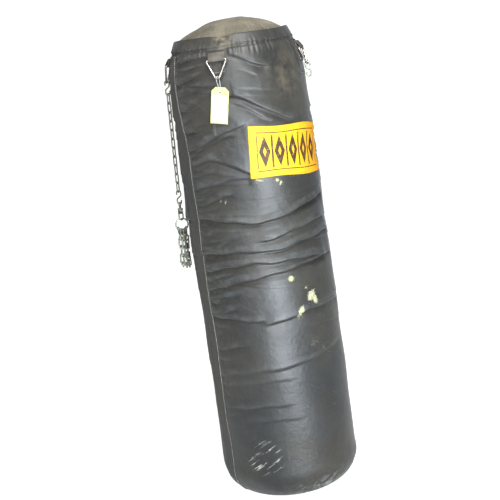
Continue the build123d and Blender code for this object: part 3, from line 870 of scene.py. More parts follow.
@dataclass(frozen=True)
class Card(Finish):
    """Pale card whose front carries a white panel, with fibres and handling marks."""

    panel: Colour = (0.74, 0.75, 0.71)
    half_width: float = 0.0165
    low: float = -0.0665
    high: float = -0.006

    def dress(self, g: Graph, shader: bpy.types.Node) -> None:
        """Panel from the card's own UVs in metres, whose origin is the hole.

        Args:
            g: The material's graph.
            shader: Its Principled shader.
        """
        cloth = self.vector(g, Coordinates.SURFACE)
        space = self.vector(g, Coordinates.OBJECT)
        parts = g.add("SeparateXYZ", {0: cloth})
        across = g.math("LESS_THAN", g.math("ABSOLUTE", parts.outputs[0]), self.half_width)
        above = g.math("GREATER_THAN", parts.outputs[1], self.low)
        below = g.math("LESS_THAN", parts.outputs[1], self.high)
        inside = g.math("MULTIPLY", across, g.math("MULTIPLY", above, below))
        fibre = g.noise(space, 900.0, 4.0, 0.7)
        base = g.mix(g.math("MULTIPLY", fibre, 0.5), self.colour, tuple(c * 0.84 for c in self.colour))
        base = g.mix(inside, base, self.panel)
        base = self.dusted(g, space, base, (0.5, 0.46, 0.33), 0.2, 60.0)
        rough = g.math("MULTIPLY_ADD", fibre, 0.2, self.rough)
        self.wire(g, shader, Base_Color=base, Roughness=rough, Normal=self.relief(g, (fibre, 0.00006)))


@dataclass(frozen=True)
class Fibre(Finish):
    """Thread, string or bared backing: fine twisted fibres with uneven colour."""

    shade: Colour = (0.4, 0.36, 0.26)
    grain: float = 1400.0

    def dress(self, g: Graph, shader: bpy.types.Node) -> None:
        """Mottled fibre colour and a fuzzy relief.

        Args:
            g: The material's graph.
            shader: Its Principled shader.
        """
        space = self.vector(g, Coordinates.OBJECT)
        strand = g.noise(space, self.grain, 3.0, 0.6)
        blotch = g.noise(space, self.grain * 0.14, 4.0, 0.65)
        base = g.mix(g.band(blotch, 0.4, 0.7), self.colour, self.shade)
        base = g.mix(g.math("MULTIPLY", strand, 0.4), base, self.shade)
        rough = g.math("MULTIPLY_ADD", strand, 0.2, self.rough)
        normal = self.relief(g, (blotch, 0.0003), (strand, 0.0001))
        self.wire(g, shader, Base_Color=base, Roughness=rough, Normal=normal)


NYLON = CoatedNylon("coated_nylon", (0.0115, 0.013, 0.014), 0.45)
SEAM_TAPE = CoatedNylon(
    "seam_tape", (0.008, 0.0076, 0.0065), 0.6, worn=(0.05, 0.048, 0.045), warm=(0.022, 0.019, 0.014)
)
CANVAS = Canvas("dusty_canvas", (0.09, 0.08, 0.056), 0.75)
WEB = Webbing("webbing", (0.05, 0.044, 0.037), 0.6)
WEB_DARK = Webbing("webbing_base", (0.014, 0.013, 0.012), 0.7, faded=(0.03, 0.028, 0.025))
PATCH = PrintedPatch("yellow_patch", (0.6, 0.37, 0.004), 0.55)
NICKEL = PlatedMetal("nickel_plate", (0.4, 0.365, 0.335), 0.2, dull=(0.17, 0.12, 0.1), grime=0.3, shine=0.9)
ZINC = PlatedMetal("zinc_plate", (0.36, 0.38, 0.31), 0.34, dull=(0.12, 0.125, 0.1), grime=0.7, shine=0.75)
DARK_STEEL = PlatedMetal("dark_steel", (0.16, 0.15, 0.13), 0.4, dull=(0.05, 0.045, 0.04), grime=0.8)
CARD = Card("tag_card", (0.42, 0.43, 0.17), 0.65)
EYELET = Fibre("tag_eyelet", (0.75, 0.7, 0.42), 0.7, shade=(0.45, 0.38, 0.2), grain=900.0)
STRING = Fibre("tag_string", (0.55, 0.55, 0.52), 0.7, shade=(0.4, 0.4, 0.36))
THREAD = Fibre("black_thread", (0.06, 0.06, 0.056), 0.6, shade=(0.02, 0.02, 0.02))
PALE_THREAD = Fibre("pale_thread", (0.34, 0.34, 0.31), 0.65, shade=(0.12, 0.12, 0.11))
GOLD_THREAD = Fibre("gold_thread", (0.6, 0.36, 0.02), 0.6, shade=(0.35, 0.19, 0.01))
BACKING = Fibre("bared_backing", (0.45, 0.44, 0.28), 0.85, shade=(0.25, 0.24, 0.14), grain=700.0)


# ======== the casing ========
@dataclass(frozen=True)
class Fold:
    """A crease that runs round the bag: its angles, its heights there, and its cross-section."""

    angles: tuple[float, ...]
    heights: tuple[float, ...]
    depth: float
    width: float
    bulge: float = 0.6
    fade: float = 9.0


FOLDS = (
    Fold((-58, -41, -23, -16), (1.088, 1.094, 1.094, 1.09), 0.004, 0.007, 0.5),
    Fold((-6, 6, 19, 27), (1.095, 1.079, 1.06, 1.052), 0.005, 0.008, 0.6, 7),
    Fold((2, 10, 17), (1.063, 1.047, 1.034), 0.0026, 0.006, 0.5, 6),
    Fold((-61, -48, -36), (1.04, 1.046, 1.049), 0.0034, 0.006, 0.6),
    Fold((-59, -45, -34, -25), (0.976, 0.984, 0.998, 1.01), 0.0032, 0.008, 0.6),
    Fold((-8, 11, 27, 42), (1.004, 0.976, 0.946, 0.922), 0.0065, 0.011, 0.75, 12),
    Fold((-4, 10, 24), (0.985, 0.955, 0.928), 0.0028, 0.009, 0.5),
    Fold((-53, -42, -21, 2), (0.884, 0.89, 0.916, 0.933), 0.005, 0.011, 0.7),
    Fold((-54, -46, -30, -12), (0.868, 0.877, 0.896, 0.911), 0.0035, 0.007, 0.6),
    Fold((-51, -39, -24, -11, 0), (0.848, 0.858, 0.858, 0.836, 0.814), 0.0055, 0.009, 0.7),
    Fold((-50, -30, -15, 0), (0.792, 0.802, 0.81, 0.808), 0.0036, 0.008, 0.6),
    Fold((-52, -35, -19), (0.752, 0.76, 0.778), 0.0036, 0.007, 0.6),
    Fold((-90, -53, -28, -11, 4, 18, 31, 47, 72), (0.707, 0.723, 0.714, 0.704, 0.7, 0.705, 0.716, 0.729, 0.738),
         0.0105, 0.0085, 0.9, 10),
    Fold((5, 25, 39, 64), (0.656, 0.668, 0.678, 0.684), 0.005, 0.009, 0.7, 14),
    Fold((-52, -40), (0.66, 0.664), 0.0026, 0.006, 0.5),
    Fold((-80, -54, -29, -7, 12, 27, 45, 72), (0.626, 0.635, 0.639, 0.637, 0.629, 0.638, 0.645, 0.65),
         0.0075, 0.0085, 0.8),
    Fold((-78, -52, -28, -7, 13, 38, 75), (0.584, 0.593, 0.604, 0.609, 0.602, 0.603, 0.588), 0.0068, 0.008, 0.8),
    Fold((-56, -43, -23, -2, 18, 37, 60), (0.543, 0.555, 0.565, 0.573, 0.579, 0.587, 0.59), 0.0085, 0.0085, 0.85),
    Fold((-52, -41, -27), (0.525, 0.53, 0.536), 0.0034, 0.007, 0.6),
    Fold((-55, -38, -26, -8), (0.482, 0.481, 0.474, 0.466), 0.0048, 0.008, 0.7),
    Fold((2, 18, 37, 75), (0.457, 0.466, 0.476, 0.472), 0.0046, 0.009, 0.7, 12),
    Fold((-53, -36, -24), (0.398, 0.405, 0.412), 0.0034, 0.007, 0.6),
    Fold((-53, -36), (0.37, 0.375), 0.0024, 0.006, 0.5),
    Fold((-58, -33, -10, 15, 34, 62), (0.33, 0.34, 0.345, 0.347, 0.356, 0.372), 0.0024, 0.013, 0.6, 16),
    Fold((-55, -34, -11, 3), (0.25, 0.251, 0.255, 0.254), 0.0021, 0.011, 0.6, 14),
    Fold((-52, -15, 6), (0.308, 0.316, 0.317), 0.0013, 0.012, 0.5, 14),
    Fold((-26, -6, 13), (0.216, 0.218, 0.217), 0.0011, 0.012, 0.5, 12),
)


@dataclass
class Casing:
    """The bag's filled fabric tube, with its folds, and the places of what is sewn to it."""

    height: float = 1.14
    base: float = 0.173
    neck: float = 0.167
    corner: float = 0.08
    shoulder: float = 1.01
    arc: float = 0.272
    hem: float = 0.028
    hem_wall: float = 0.0016
    wall: float = 0.002
    columns: int = 380
    stand_off: float = 0.0055
    wrinkles: int = 210
    seed: int = 7
    seam_heights: tuple[float, ...] = (0.05, 0.25, 0.4, 0.55, 0.64, 0.72, 0.87, 0.98, 1.04, 1.12)
    seam_angles: tuple[float, ...] = (-57.5, -56.0, -54.0, -55.5, -56.0, -54.5, -54.0, -60.0, -62.0, -65.0)
    seam_span: float = 15.5
    patch_angles: tuple[float, float] = (2.0, 77.0)
    patch_heights: tuple[float, float] = (0.8, 0.92)
    strap_heights: tuple[float, float] = (1.045, 1.112)
    tag_low: float = 0.91
    strand_heights: tuple[float, float] = (0.46, 1.08)
    strap_angles: dict[str, float] = field(
        default_factory=lambda: {"front": -14.0, "right": 76.0, "back": 166.0, "left": -104.0}
    )

    def radius(self, z: Array) -> Array:
        """Plain wall: the foot's quarter circle, a cone up to the shoulder, then the shoulder's arc.

        Args:
            z: Heights.

        Returns:
            Distances from the bag's axis.
        """
        share = (z - self.corner) / (self.shoulder - self.corner)
        cone = self.base + (self.neck - self.base) * share
        rise = np.clip(z - self.shoulder, 0.0, self.arc * 0.95)
        wall = np.where(z < self.shoulder, cone, self.neck - self.arc + np.sqrt(self.arc**2 - rise**2))
        below = np.clip(self.corner - z, 0.0, self.corner)
        return wall - (self.corner - np.sqrt(self.corner**2 - below**2))

    def lean(self, z: Array) -> Array:
        """Angle by which the wall faces up on the shoulder, or down on the foot, in radians."""
        foot = np.arcsin(np.clip((self.corner - z) / self.corner, 0.0, 1.0))
        return np.arcsin(np.clip((z - self.shoulder) / self.arc, 0.0, 0.9)) - foot

    def seam(self, z: Array) -> Array:
        """Angle of the seam's stitched edge at a height, drifting as the cloth has twisted."""
        return np.interp(z, self.seam_heights, self.seam_angles)

    def fold_relief(self, theta: Array, z: Array) -> Array:
        """Sum of the named folds.

        Across a fold at distance d above its line the cloth hangs over as bulge * exp(-d / 2.6w), and
        below the line it is tucked in as -exp(d / 2w). A smooth step at d = 0 joins the two as a lip.

        Args:
            theta: Degrees from the front.
            z: Heights.

        Returns:
            Metres outwards.
        """
        relief = np.zeros(np.broadcast(theta, z).shape)
        for fold in FOLDS:
            low, high = fold.angles[0], fold.angles[-1]
            line = sum(np.interp(theta + k, fold.angles, fold.heights) for k in (-7.0, -3.5, 0.0, 3.5, 7.0)) / 5.0
            line = line + 0.0012 * np.sin(np.radians(theta) * 13.0 + fold.heights[0] * 70.0)
            reach = window(theta, low + 2.0, high - 4.0, fold.fade)
            swell = 0.75 + 0.25 * np.sin(np.radians(theta) * 5.3 + fold.heights[0] * 40.0)
            relief += reach * swell * fold.depth * self.lip((z - line) / fold.width, fold.bulge)
        return relief

    @staticmethod
    def lip(d: Array, bulge: float) -> Array:
        """Section of a fold: hanging over above its line, tucked in below.

        Args:
            d: Distance above the line, in widths.
            bulge: How far it hangs over, as a share of its depth.

        Returns:
            Share of the fold's depth, outwards.
        """
        step = smooth_step(d, -0.4, 0.4)
        over = np.exp(-np.clip(d, 0.0, None) / 2.6)
        under = np.exp(np.clip(d, None, 0.0) / 2.0)
        return bulge * step * over - (1.0 - step) * under

    def wrinkle_relief(self, theta: Array, z: Array) -> Array:
        """Seeded small wrinkles: narrow slanting grooves, most of them from the seam and in the top half.

        Args:
            theta: Degrees from the front, wrapped.
            z: Heights.

        Returns:
            Metres outwards.
        """
        draw = np.random.default_rng(self.seed)
        relief = np.zeros(np.broadcast(theta, z).shape)
        for index in range(self.wrinkles):
            height = 0.16 + 0.93 * draw.random() ** 0.62
            from_seam = index % 3 == 0
            start = -54.0 if from_seam else draw.uniform(-180.0, 180.0)
            length = draw.uniform(10.0, 34.0) if from_seam else draw.uniform(22.0, 90.0)
            slope = draw.uniform(-0.0002, 0.0011) if from_seam else draw.uniform(-0.0006, 0.0006)
            sag = draw.uniform(-0.012, 0.004)
            depth = draw.uniform(0.0006, 0.0022) * (0.35 + 0.65 * smooth_step(np.array(height), 0.3, 0.6))
            width = draw.uniform(0.003, 0.0075)
            if not from_seam and -70.0 < start < 40.0:
                depth = depth * 0.35
            gone = wrapped(theta - start) if not from_seam else theta - start
            t = gone / length
            line = height + slope * gone + sag * (1.0 - (2.0 * t - 1.0) ** 2)
            d = (z - line) / width
            reach = window(t, 0.1, 0.75, 0.25) if not from_seam else window(t, 0.0, 0.6, 0.4)
            relief += reach * depth * self.lip(d, 0.6)
        return relief

    def lumps(self, theta: Array, z: Array) -> Array:
        """Unevenness of the filling: a few slow waves round and up the bag.

        Args:
            theta: Degrees from the front.
            z: Heights.

        Returns:
            Metres outwards.
        """
        a = np.radians(theta)
        waves = (
            0.0014 * np.sin(2.0 * a + 7.0 * z)
            + 0.0011 * np.sin(3.0 * a - 11.0 * z + 1.3)
            + 0.0008 * np.sin(5.0 * a + 23.0 * z + 0.4)
            + 0.0006 * np.sin(a + 41.0 * z)
        )
        return waves - 0.0012

    def relief(self, theta: Array, z: Array) -> Array:
        """How far the cloth stands off the plain wall.

        The folds and wrinkles stop at the seam and ease off under the patch and the straps. The
        cloth stays close to the plain wall wherever something hangs against it.

        Args:
            theta: Degrees from the front.
            z: Heights.

        Returns:
            Metres outwards, negative inwards.
        """
        theta = wrapped(theta)
        seam = self.seam(z)
        on_strip = window(theta, seam - self.seam_span, seam, 1.2)
        folds = self.fold_relief(theta, z) + self.wrinkle_relief(theta, z)
        behind = smooth_step(theta, seam - self.seam_span - 8.0, seam - self.seam_span)
        folds = folds * (1.0 - 0.72 * on_strip) * (1.0 - 0.3 * behind * (theta < seam))
        on_patch = window(theta, *self.patch_angles, 5.0) * window(z, *self.patch_heights, 0.016)
        folds = folds * (1.0 - 0.72 * on_patch)
        puckers = 0.0011 * np.sin(np.radians(theta) * 78.0) * np.sin(np.radians(theta) * 11.0 + 1.0)
        folds = folds + puckers * window(z, 1.098, 1.111, 0.016) - 0.0016 * window(z, 1.108, 1.1115, 0.004)
        collar = smooth_step(z, 1.09, 1.14)
        folds = folds + collar * 0.0022 * np.sin(np.radians(theta) * 4.0 + 0.8) - 0.001 * collar
        total = folds + self.lumps(theta, z) * (1.0 - collar)
        foot = 1.0 - smooth_step(z, 0.03, 0.1)
        total = total * (1.0 - foot) - foot * 0.0012 * (1.0 + np.sin(np.radians(theta) * 9.0 + z * 60.0)) / 2.0
        cap = np.full(total.shape, self.stand_off)
        for angle in self.strap_angles.values():
            beside = window(wrapped(theta - angle), -8.0, 8.0, 4.0)
            held = beside * window(z, *self.strap_heights, 0.01)
            total = total * (1.0 - held) - 0.0002 * held
            cap = cap - beside * window(z, self.tag_low, self.strap_heights[1], 0.02) * (cap - 0.0004)
        strand = window(wrapped(theta - self.strap_angles["left"]), -14.0, 16.0, 8.0)
        strand = strand * window(z, *self.strand_heights, 0.03)
        cap = cap - strand * (cap - 0.0006)
        return np.minimum(total, cap)

    def place(self, theta: Array, z: Array, offset: Array | float = 0.0) -> Array:
        """Points on the cloth, moved off it by offset.

        Args:
            theta: Degrees from the front.
            z: Heights on the plain wall.
            offset: Metres off the cloth.

        Returns:
            Points with a last axis of 3.
        """
        theta, z = np.broadcast_arrays(theta, z)
        lean = self.lean(z)
        off = self.relief(theta, z) + offset
        r = self.radius(z) + off * np.cos(lean)
        a = np.radians(theta)
        return np.stack([r * np.sin(a), -r * np.cos(a), z + off * np.sin(lean)], -1)

    def normal(self, theta: Array, z: Array) -> Array:
        """Unit vectors off the plain wall."""
        theta, z = np.broadcast_arrays(theta, z)
        a, lean = np.radians(theta), self.lean(z)
        return np.stack([np.cos(lean) * np.sin(a), -np.cos(lean) * np.cos(a), np.sin(lean)], -1)

    @staticmethod
    def sag(theta: Array, z: Array) -> Array:
        """How far the collar hangs below level: a dip beside the front strap and a slow wave."""
        dip = 0.0045 * np.exp(-(((theta + 9.0) / 9.0) ** 2)) + 0.002 * np.sin(np.radians(theta) * 3.0 + 0.6)
        return smooth_step(z, 1.1, 1.14) * (dip + 0.0012)

    def outline(self) -> tuple[Array, Array, Array, Array, Array]:
        """The casing's section from the foot's middle up to the collar and over into it.

        Returns:
            Radius, height, outward and upward parts of the normal, and offset for each row.
        """
        flat = self.base - self.corner
        r_disc = np.linspace(0.004, flat, 14)[:-1]
        a = np.radians(np.linspace(-90.0, 0.0, 26))[:-1]
        z_wall = np.concatenate([
            np.linspace(self.corner, self.shoulder, 430)[:-1],
            np.linspace(self.shoulder, self.height - self.hem, 54),
        ])
        hem_low = self.height - self.hem
        z_hem = np.array([0.0003, 0.001, 0.003, 0.008, 0.014, 0.02, 0.0245, 0.0268, 0.0276]) + hem_low
        hem_off = self.hem_wall * np.array([0.5, 0.85, 1.0, 1.0, 1.0, 1.0, 1.0, 0.9, 0.6])
        z_in = np.array([0.028, 0.0278, 0.027, 0.024, 0.02, 0.014]) + hem_low
        in_off = np.array([-0.0004, -0.0014, -0.002, -0.0022, -0.0022, -0.0022])
        z_up = np.concatenate([z_wall, z_hem, z_in])
        lean = self.lean(z_up)
        r = np.concatenate([r_disc, flat + self.corner * np.cos(a), self.radius(z_up)])
        z = np.concatenate([np.zeros_like(r_disc), self.corner + self.corner * np.sin(a), z_up])
        out = np.concatenate([np.zeros_like(r_disc), np.cos(a), np.cos(lean)])
        up = np.concatenate([-np.ones_like(r_disc), np.sin(a), np.sin(lean)])
        offset = np.concatenate([np.zeros(len(r_disc) + len(a) + len(z_wall)), hem_off, in_off])
        return r, z, out, up, offset

    def shell(self) -> bpy.types.Object:
        """Make the whole cloth as one closed-bottomed surface of revolution plus its relief.

        Returns:
            The cloth, with its ridges and hollows kept as attributes.
        """
        r, z, out, up, offset = self.outline()
        theta = np.linspace(-180.0, 180.0, self.columns, endpoint=False)[None]
        relief = self.relief(theta, np.broadcast_to(z[:, None], (len(z), self.columns)))
        pressed = np.minimum(relief, 0.0) * np.clip(1.0 + up[:, None], 0.0, 1.0)
        relief = np.where(up[:, None] < -0.5, pressed, relief)
        off = relief + offset[:, None]
        a = np.radians(theta)
        radius = r[:, None] + off * out[:, None]
        height = z[:, None] + off * up[:, None] - self.sag(theta, z[:, None])
        points = np.stack([radius * np.sin(a), -radius * np.cos(a), height], -1)
        run = np.concatenate([[0.0], np.cumsum(np.hypot(np.diff(r), np.diff(z)))])
        around = np.linspace(0.0, 2.0 * np.pi * self.neck, self.columns + 1)
        uv = np.stack(np.broadcast_arrays(around[None], run[:, None]), -1)
        piece = Surface("casing_cloth", points, uv).build(closed=True, plugged=True)
        smooth = relief.copy()
        for shift in (2, 4, 6, 8):
            padded = np.pad(relief, ((shift, shift), (0, 0)), mode="edge")
            smooth += padded[2 * shift:] + padded[: -2 * shift]
        smooth /= 9.0
        add_attribute(piece, "ridge", np.clip((relief - smooth) / 0.0012, 0.0, 1.0))
        # The hollow attribute drives the painted shade in the creases of the nylon finish.
        add_attribute(piece, "hollow", np.clip((smooth - relief) / 0.002, 0.0, 1.0))
        return piece

    def build(self) -> None:
        """Make the cloth and its hem stitches and ride them on the bag."""
        cloth = self.shell()
        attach(cloth, "bag")
        inner = ["fibre_filling", "sand_bag_lower", "sand_bag_middle", "sand_bag_upper"]
        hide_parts("main_shell", "bottom_panel", "collar_hem", *inner)
        NYLON.on(cloth)
        theta = np.linspace(-180.0, 180.0, 721)
        z = np.full_like(theta, self.height - self.hem + 0.0035)
        path = self.place(theta, z, self.hem_wall)
        path[:, 2] -= self.sag(theta, z)
        row = Stitching().row("hem_stitches", path, self.normal(theta, z))
        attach(row, "bag")
        THREAD.on(row)
        log.info("casing_cloth %d faces", len(cloth.data.polygons))


@dataclass
class SeamStrip:
    """Flat doubled cloth down the left side, with a sewn edge and a second row of stitches."""

    casing: Casing
    low: float = 0.014
    high: float = 1.108
    thick: float = 0.0012

    def build(self) -> None:
        """Lay the strip on the cloth: a thin slab whose edges roll down onto it."""
        z = np.linspace(self.low, self.high, 330)[:, None]
        t = np.linspace(0.0, 1.0, 30)[None]
        right = self.casing.seam(z)
        theta = right - self.casing.seam_span * (1.0 - t)
        edge = np.minimum(t, 1.0 - t) * 30.0
        ends = np.minimum(z - self.low, self.high - z) / 0.003
        lift = self.thick * np.sqrt(np.clip(1.0 - (1.0 - np.clip(np.minimum(edge, ends), 0.0, 1.0)) ** 2, 0.0, 1.0))
        welt = 0.0007 * np.exp(-(((t - 0.86) / 0.05) ** 2))
        points = self.casing.place(theta, z, lift - 0.0004 + welt)
        uv = np.stack(np.broadcast_arrays(t * 0.048, z), -1)
        strip = Surface("side_seam", points, uv).build()
        thicken(strip, self.thick * 0.8)
        add_attribute(strip, "ridge", np.clip(welt / 0.0007, 0.0, 1.0) * np.ones(points.shape[:2]) * 0.4)
        add_attribute(strip, "hollow", np.zeros(points.shape[:2]))
        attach(strip, "bag")
        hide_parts("side_seam_strip")
        SEAM_TAPE.on(strip)
        heights = np.linspace(self.low + 0.004, self.high - 0.003, 500)
        for name, back, finish in (("seam_stitches", 0.6, PALE_THREAD), ("seam_stitches_inner", 13.8, THREAD)):
            angles = self.casing.seam(heights) - back
            path = self.casing.place(angles, heights, self.thick)
            row = Stitching(0.0048, 0.7, 0.0006).row(name, path, self.casing.normal(angles, heights))
            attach(row, "bag")
            finish.on(row)
        log.info("side_seam laid")


@dataclass
class TopCover:
    """Dusty cloth over the filling, sewn inside the collar and puckered towards its edge."""

    casing: Casing
    rise: float = 0.048
    seat: float = 0.012
    seed: int = 11

    def build(self) -> None:
        """Make a dome, rise * (1 - s^2.3) high at a share s of its radius, with puckers and soft dents."""
        low = self.casing.height - self.seat
        edge = float(self.casing.radius(np.array(low))) - self.casing.wall - 0.0006
        rows, cols = 66, 240
        s = np.linspace(1.0, 0.004, rows)[:, None]
        a = np.linspace(0.0, 2.0 * np.pi, cols, endpoint=False)[None]
        draw = np.random.default_rng(self.seed)
        phases = draw.uniform(0.0, 2.0 * np.pi, 6)
        lean = 0.12 * np.sin(a + 0.15) * s * (1.0 - s**2)
        height = low + self.rise * (1.0 - s**2.3) * (1.0 - 0.03 * np.cos(2.0 * a + 0.5) * s)
        height = height + self.rise * lean
        pucker = sum(
            w * np.sin(k * a + p) for k, w, p in zip((23, 37, 53), (0.0011, 0.0007, 0.0004), phases)
        )
        height = height + pucker * smooth_step(s, 0.45, 0.97) * (1.0 - smooth_step(s, 0.985, 1.0))
        dents = 0.0022 * np.sin(3.0 * a + phases[3]) * np.sin(np.pi * s)
        dents = dents + 0.0016 * np.sin(5.0 * a + 9.0 * s + phases[4])
        height = height + dents * np.sin(np.pi * s) - 0.002 * np.sin(np.pi * s)
        height = np.minimum(height, low + self.rise)
        points = np.stack(np.broadcast_arrays(edge * s * np.sin(a), -edge * s * np.cos(a), height), -1)
        flat = np.stack(np.broadcast_arrays(edge * s * np.sin(a), edge * s * np.cos(a)), -1)
        uv = np.concatenate([flat, flat[:, :1]], 1)
        cover = Surface("top_cloth", points, uv).build(closed=True, capped=True)
        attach(cover, "bag")
        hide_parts("top_cover")
        CANVAS.on(cover)
        log.info("top_cloth laid")


@dataclass
class BadgePatch:
    """Yellow cloth badge sewn to the front, with turned-in edges and an inset row of stitches."""

    casing: Casing
    angle: float = 39.4
    height: float = 0.857
    width: float = 0.224
    depth: float = 0.118
    tilt: float = -4.9
    thick: float = 0.001

    def at(self, u: Array, v: Array, offset: Array | float) -> Array:
        """Points of the patch: u and v run from -1/2 to 1/2 over its width and depth.

        The rectangle is tilted and wrapped round the wall. Its right edge bows in by u * bow,
        where bow falls off as 1 - 4 v^2.

        Args:
            u: Share across.
            v: Share up.
            offset: Metres off the cloth.

        Returns:
            Points with a last axis of 3.
        """
        bow = 0.012 * np.clip(u, 0.0, 0.5) * 2.0 * (1.0 - 4.0 * v**2)
        x = u * self.width - bow
        y = v * self.depth + 0.0016 * np.sin(u * 9.0) * v * 2.0
        t = math.radians(self.tilt)
        along = x * math.cos(t) - y * math.sin(t)
        up = x * math.sin(t) + y * math.cos(t)
        z = self.height + up
        theta = self.angle + np.degrees(along / self.casing.radius(z))
        return self.casing.place(theta, z, offset)

    def build(self) -> None:
        """Make the sheet with its turned-in rim, and the row of stitches inside it."""
        v, u = np.meshgrid(np.linspace(-0.5, 0.5, 84), np.linspace(-0.5, 0.5, 150), indexing="ij")
        gap = np.minimum((0.5 - np.abs(u)) * self.width, (0.5 - np.abs(v)) * self.depth)
        rim = smooth_step(gap, 0.0, 0.0016)
        seam = np.exp(-(((gap - 0.0045) / 0.0012) ** 2))
        ripple = 0.0003 * np.sin(u * 95.0) * np.sin(v * 40.0 + 1.0) * np.exp(-gap / 0.008)
        offset = self.thick * (0.55 + 0.65 * rim) - 0.00045 * seam + ripple
        points = self.at(u, v, offset)
        uv = np.stack([u * self.width, v * self.depth], -1)
        patch = Surface("front_badge", points, uv).build()
        thicken(patch, self.thick)
        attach(patch, "bag")
        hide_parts("front_patch")
        PATCH.on(patch)
        inset_u, inset_v = 0.5 - 0.0045 / self.width, 0.5 - 0.0045 / self.depth
        s = np.linspace(0.0, 1.0, 120)
        edge_u = np.concatenate([-inset_u + 2 * inset_u * s, np.full(120, inset_u), inset_u - 2 * inset_u * s,
                                 np.full(120, -inset_u)])
        edge_v = np.concatenate([np.full(120, -inset_v), -inset_v + 2 * inset_v * s, np.full(120, inset_v),
                                 inset_v - 2 * inset_v * s])
        path = self.at(edge_u, edge_v, self.thick * 0.95)
        angles = np.degrees(np.arctan2(path[:, 0], -path[:, 1]))
        row = Stitching(0.0036, 0.7, 0.0004).row("badge_stitches", path, self.casing.normal(angles, path[:, 2]))
        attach(row, "bag")
        GOLD_THREAD.on(row)
        log.info("front_badge sewn on")


@dataclass
class FrayedThreads:
    """Loose fibres round the flaked places, under the badge and along the chafed foot."""

    casing: Casing
    seed: int = 5
    radius: float = 0.00022
    wall: float = 0.172

    def spots(self) -> tuple[Array, Array, Array]:
        """Where the threads start.

        Returns:
            Angles, heights and lengths.
        """
        draw = np.random.default_rng(self.seed)
        angles, heights, lengths = [], [], []
        for tear in TEARS:
            count = 5 + int(tear.wide * 500)
            around = draw.uniform(0.0, 2.0 * np.pi, count)
            angles.append(tear.angle + np.degrees(0.42 * tear.wide * np.cos(around) / self.wall))
            heights.append(tear.height + 0.42 * tear.tall * np.sin(around))
            lengths.append(draw.uniform(0.002, 0.0065, count))
        angles.append(draw.normal(33.0, 13.0, 46))
        heights.append(draw.uniform(0.012, 0.034, 46))
        lengths.append(draw.uniform(0.0015, 0.005, 46))
        along = draw.uniform(0.0, 1.0, 26) ** 2.2
        angles.append(3.5 + 36.0 * along)
        heights.append(0.8045 - 0.0007 * along * 36.0 * 0.25 + draw.uniform(-0.003, 0.0, 26))
        lengths.append(draw.uniform(0.0015, 0.005, 26))
        return np.concatenate(angles), np.concatenate(heights), np.concatenate(lengths)

    def build(self) -> None:
        """Tapered bent tubes: the middle line curls as s^2, the radius falls as 1 - 0.8 s."""
        angles, heights, lengths = self.spots()
        draw = np.random.default_rng(self.seed + 1)
        count, steps, sides = len(angles), 9, 5
        heading = draw.uniform(0.0, 2.0 * np.pi, count)[:, None]
        curl = draw.uniform(-1.6, 1.6, count)[:, None]
        s = np.linspace(0.0, 1.0, steps)[None]
        turn = heading + curl * s**2
        step = lengths[:, None] / (steps - 1)
        x = np.cumsum(np.cos(turn) * step, axis=1)
        y = np.cumsum(np.sin(turn) * step, axis=1)
        z = np.clip(heights[:, None] + y, 0.003, None)
        theta = angles[:, None] + np.degrees(x / self.wall)
        lift = 0.0001 + draw.uniform(0.0002, 0.0016, count)[:, None] * s**2
        middle = self.casing.place(theta, z, lift)
        out = self.casing.normal(theta, z)
        along = unit(np.gradient(middle, axis=1))
        side = unit(np.cross(out, along))
        up = np.cross(along, side)
        a = np.linspace(0.0, 2.0 * np.pi, sides, endpoint=False)
        thick = (self.radius * (1.0 - 0.8 * s**2))[..., None, None]
        ring = side[:, :, None] * np.cos(a)[None, None, :, None] + up[:, :, None] * np.sin(a)[None, None, :, None]
        points = middle[:, :, None] + ring * thick
        faces = tube_faces(count, steps, sides, mirrored=True)
        piece = linked_mesh("frayed_threads", points.reshape(-1, 3), faces)
        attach(piece, "bag")
        BACKING.on(piece)
        log.info("%d frayed threads", count)


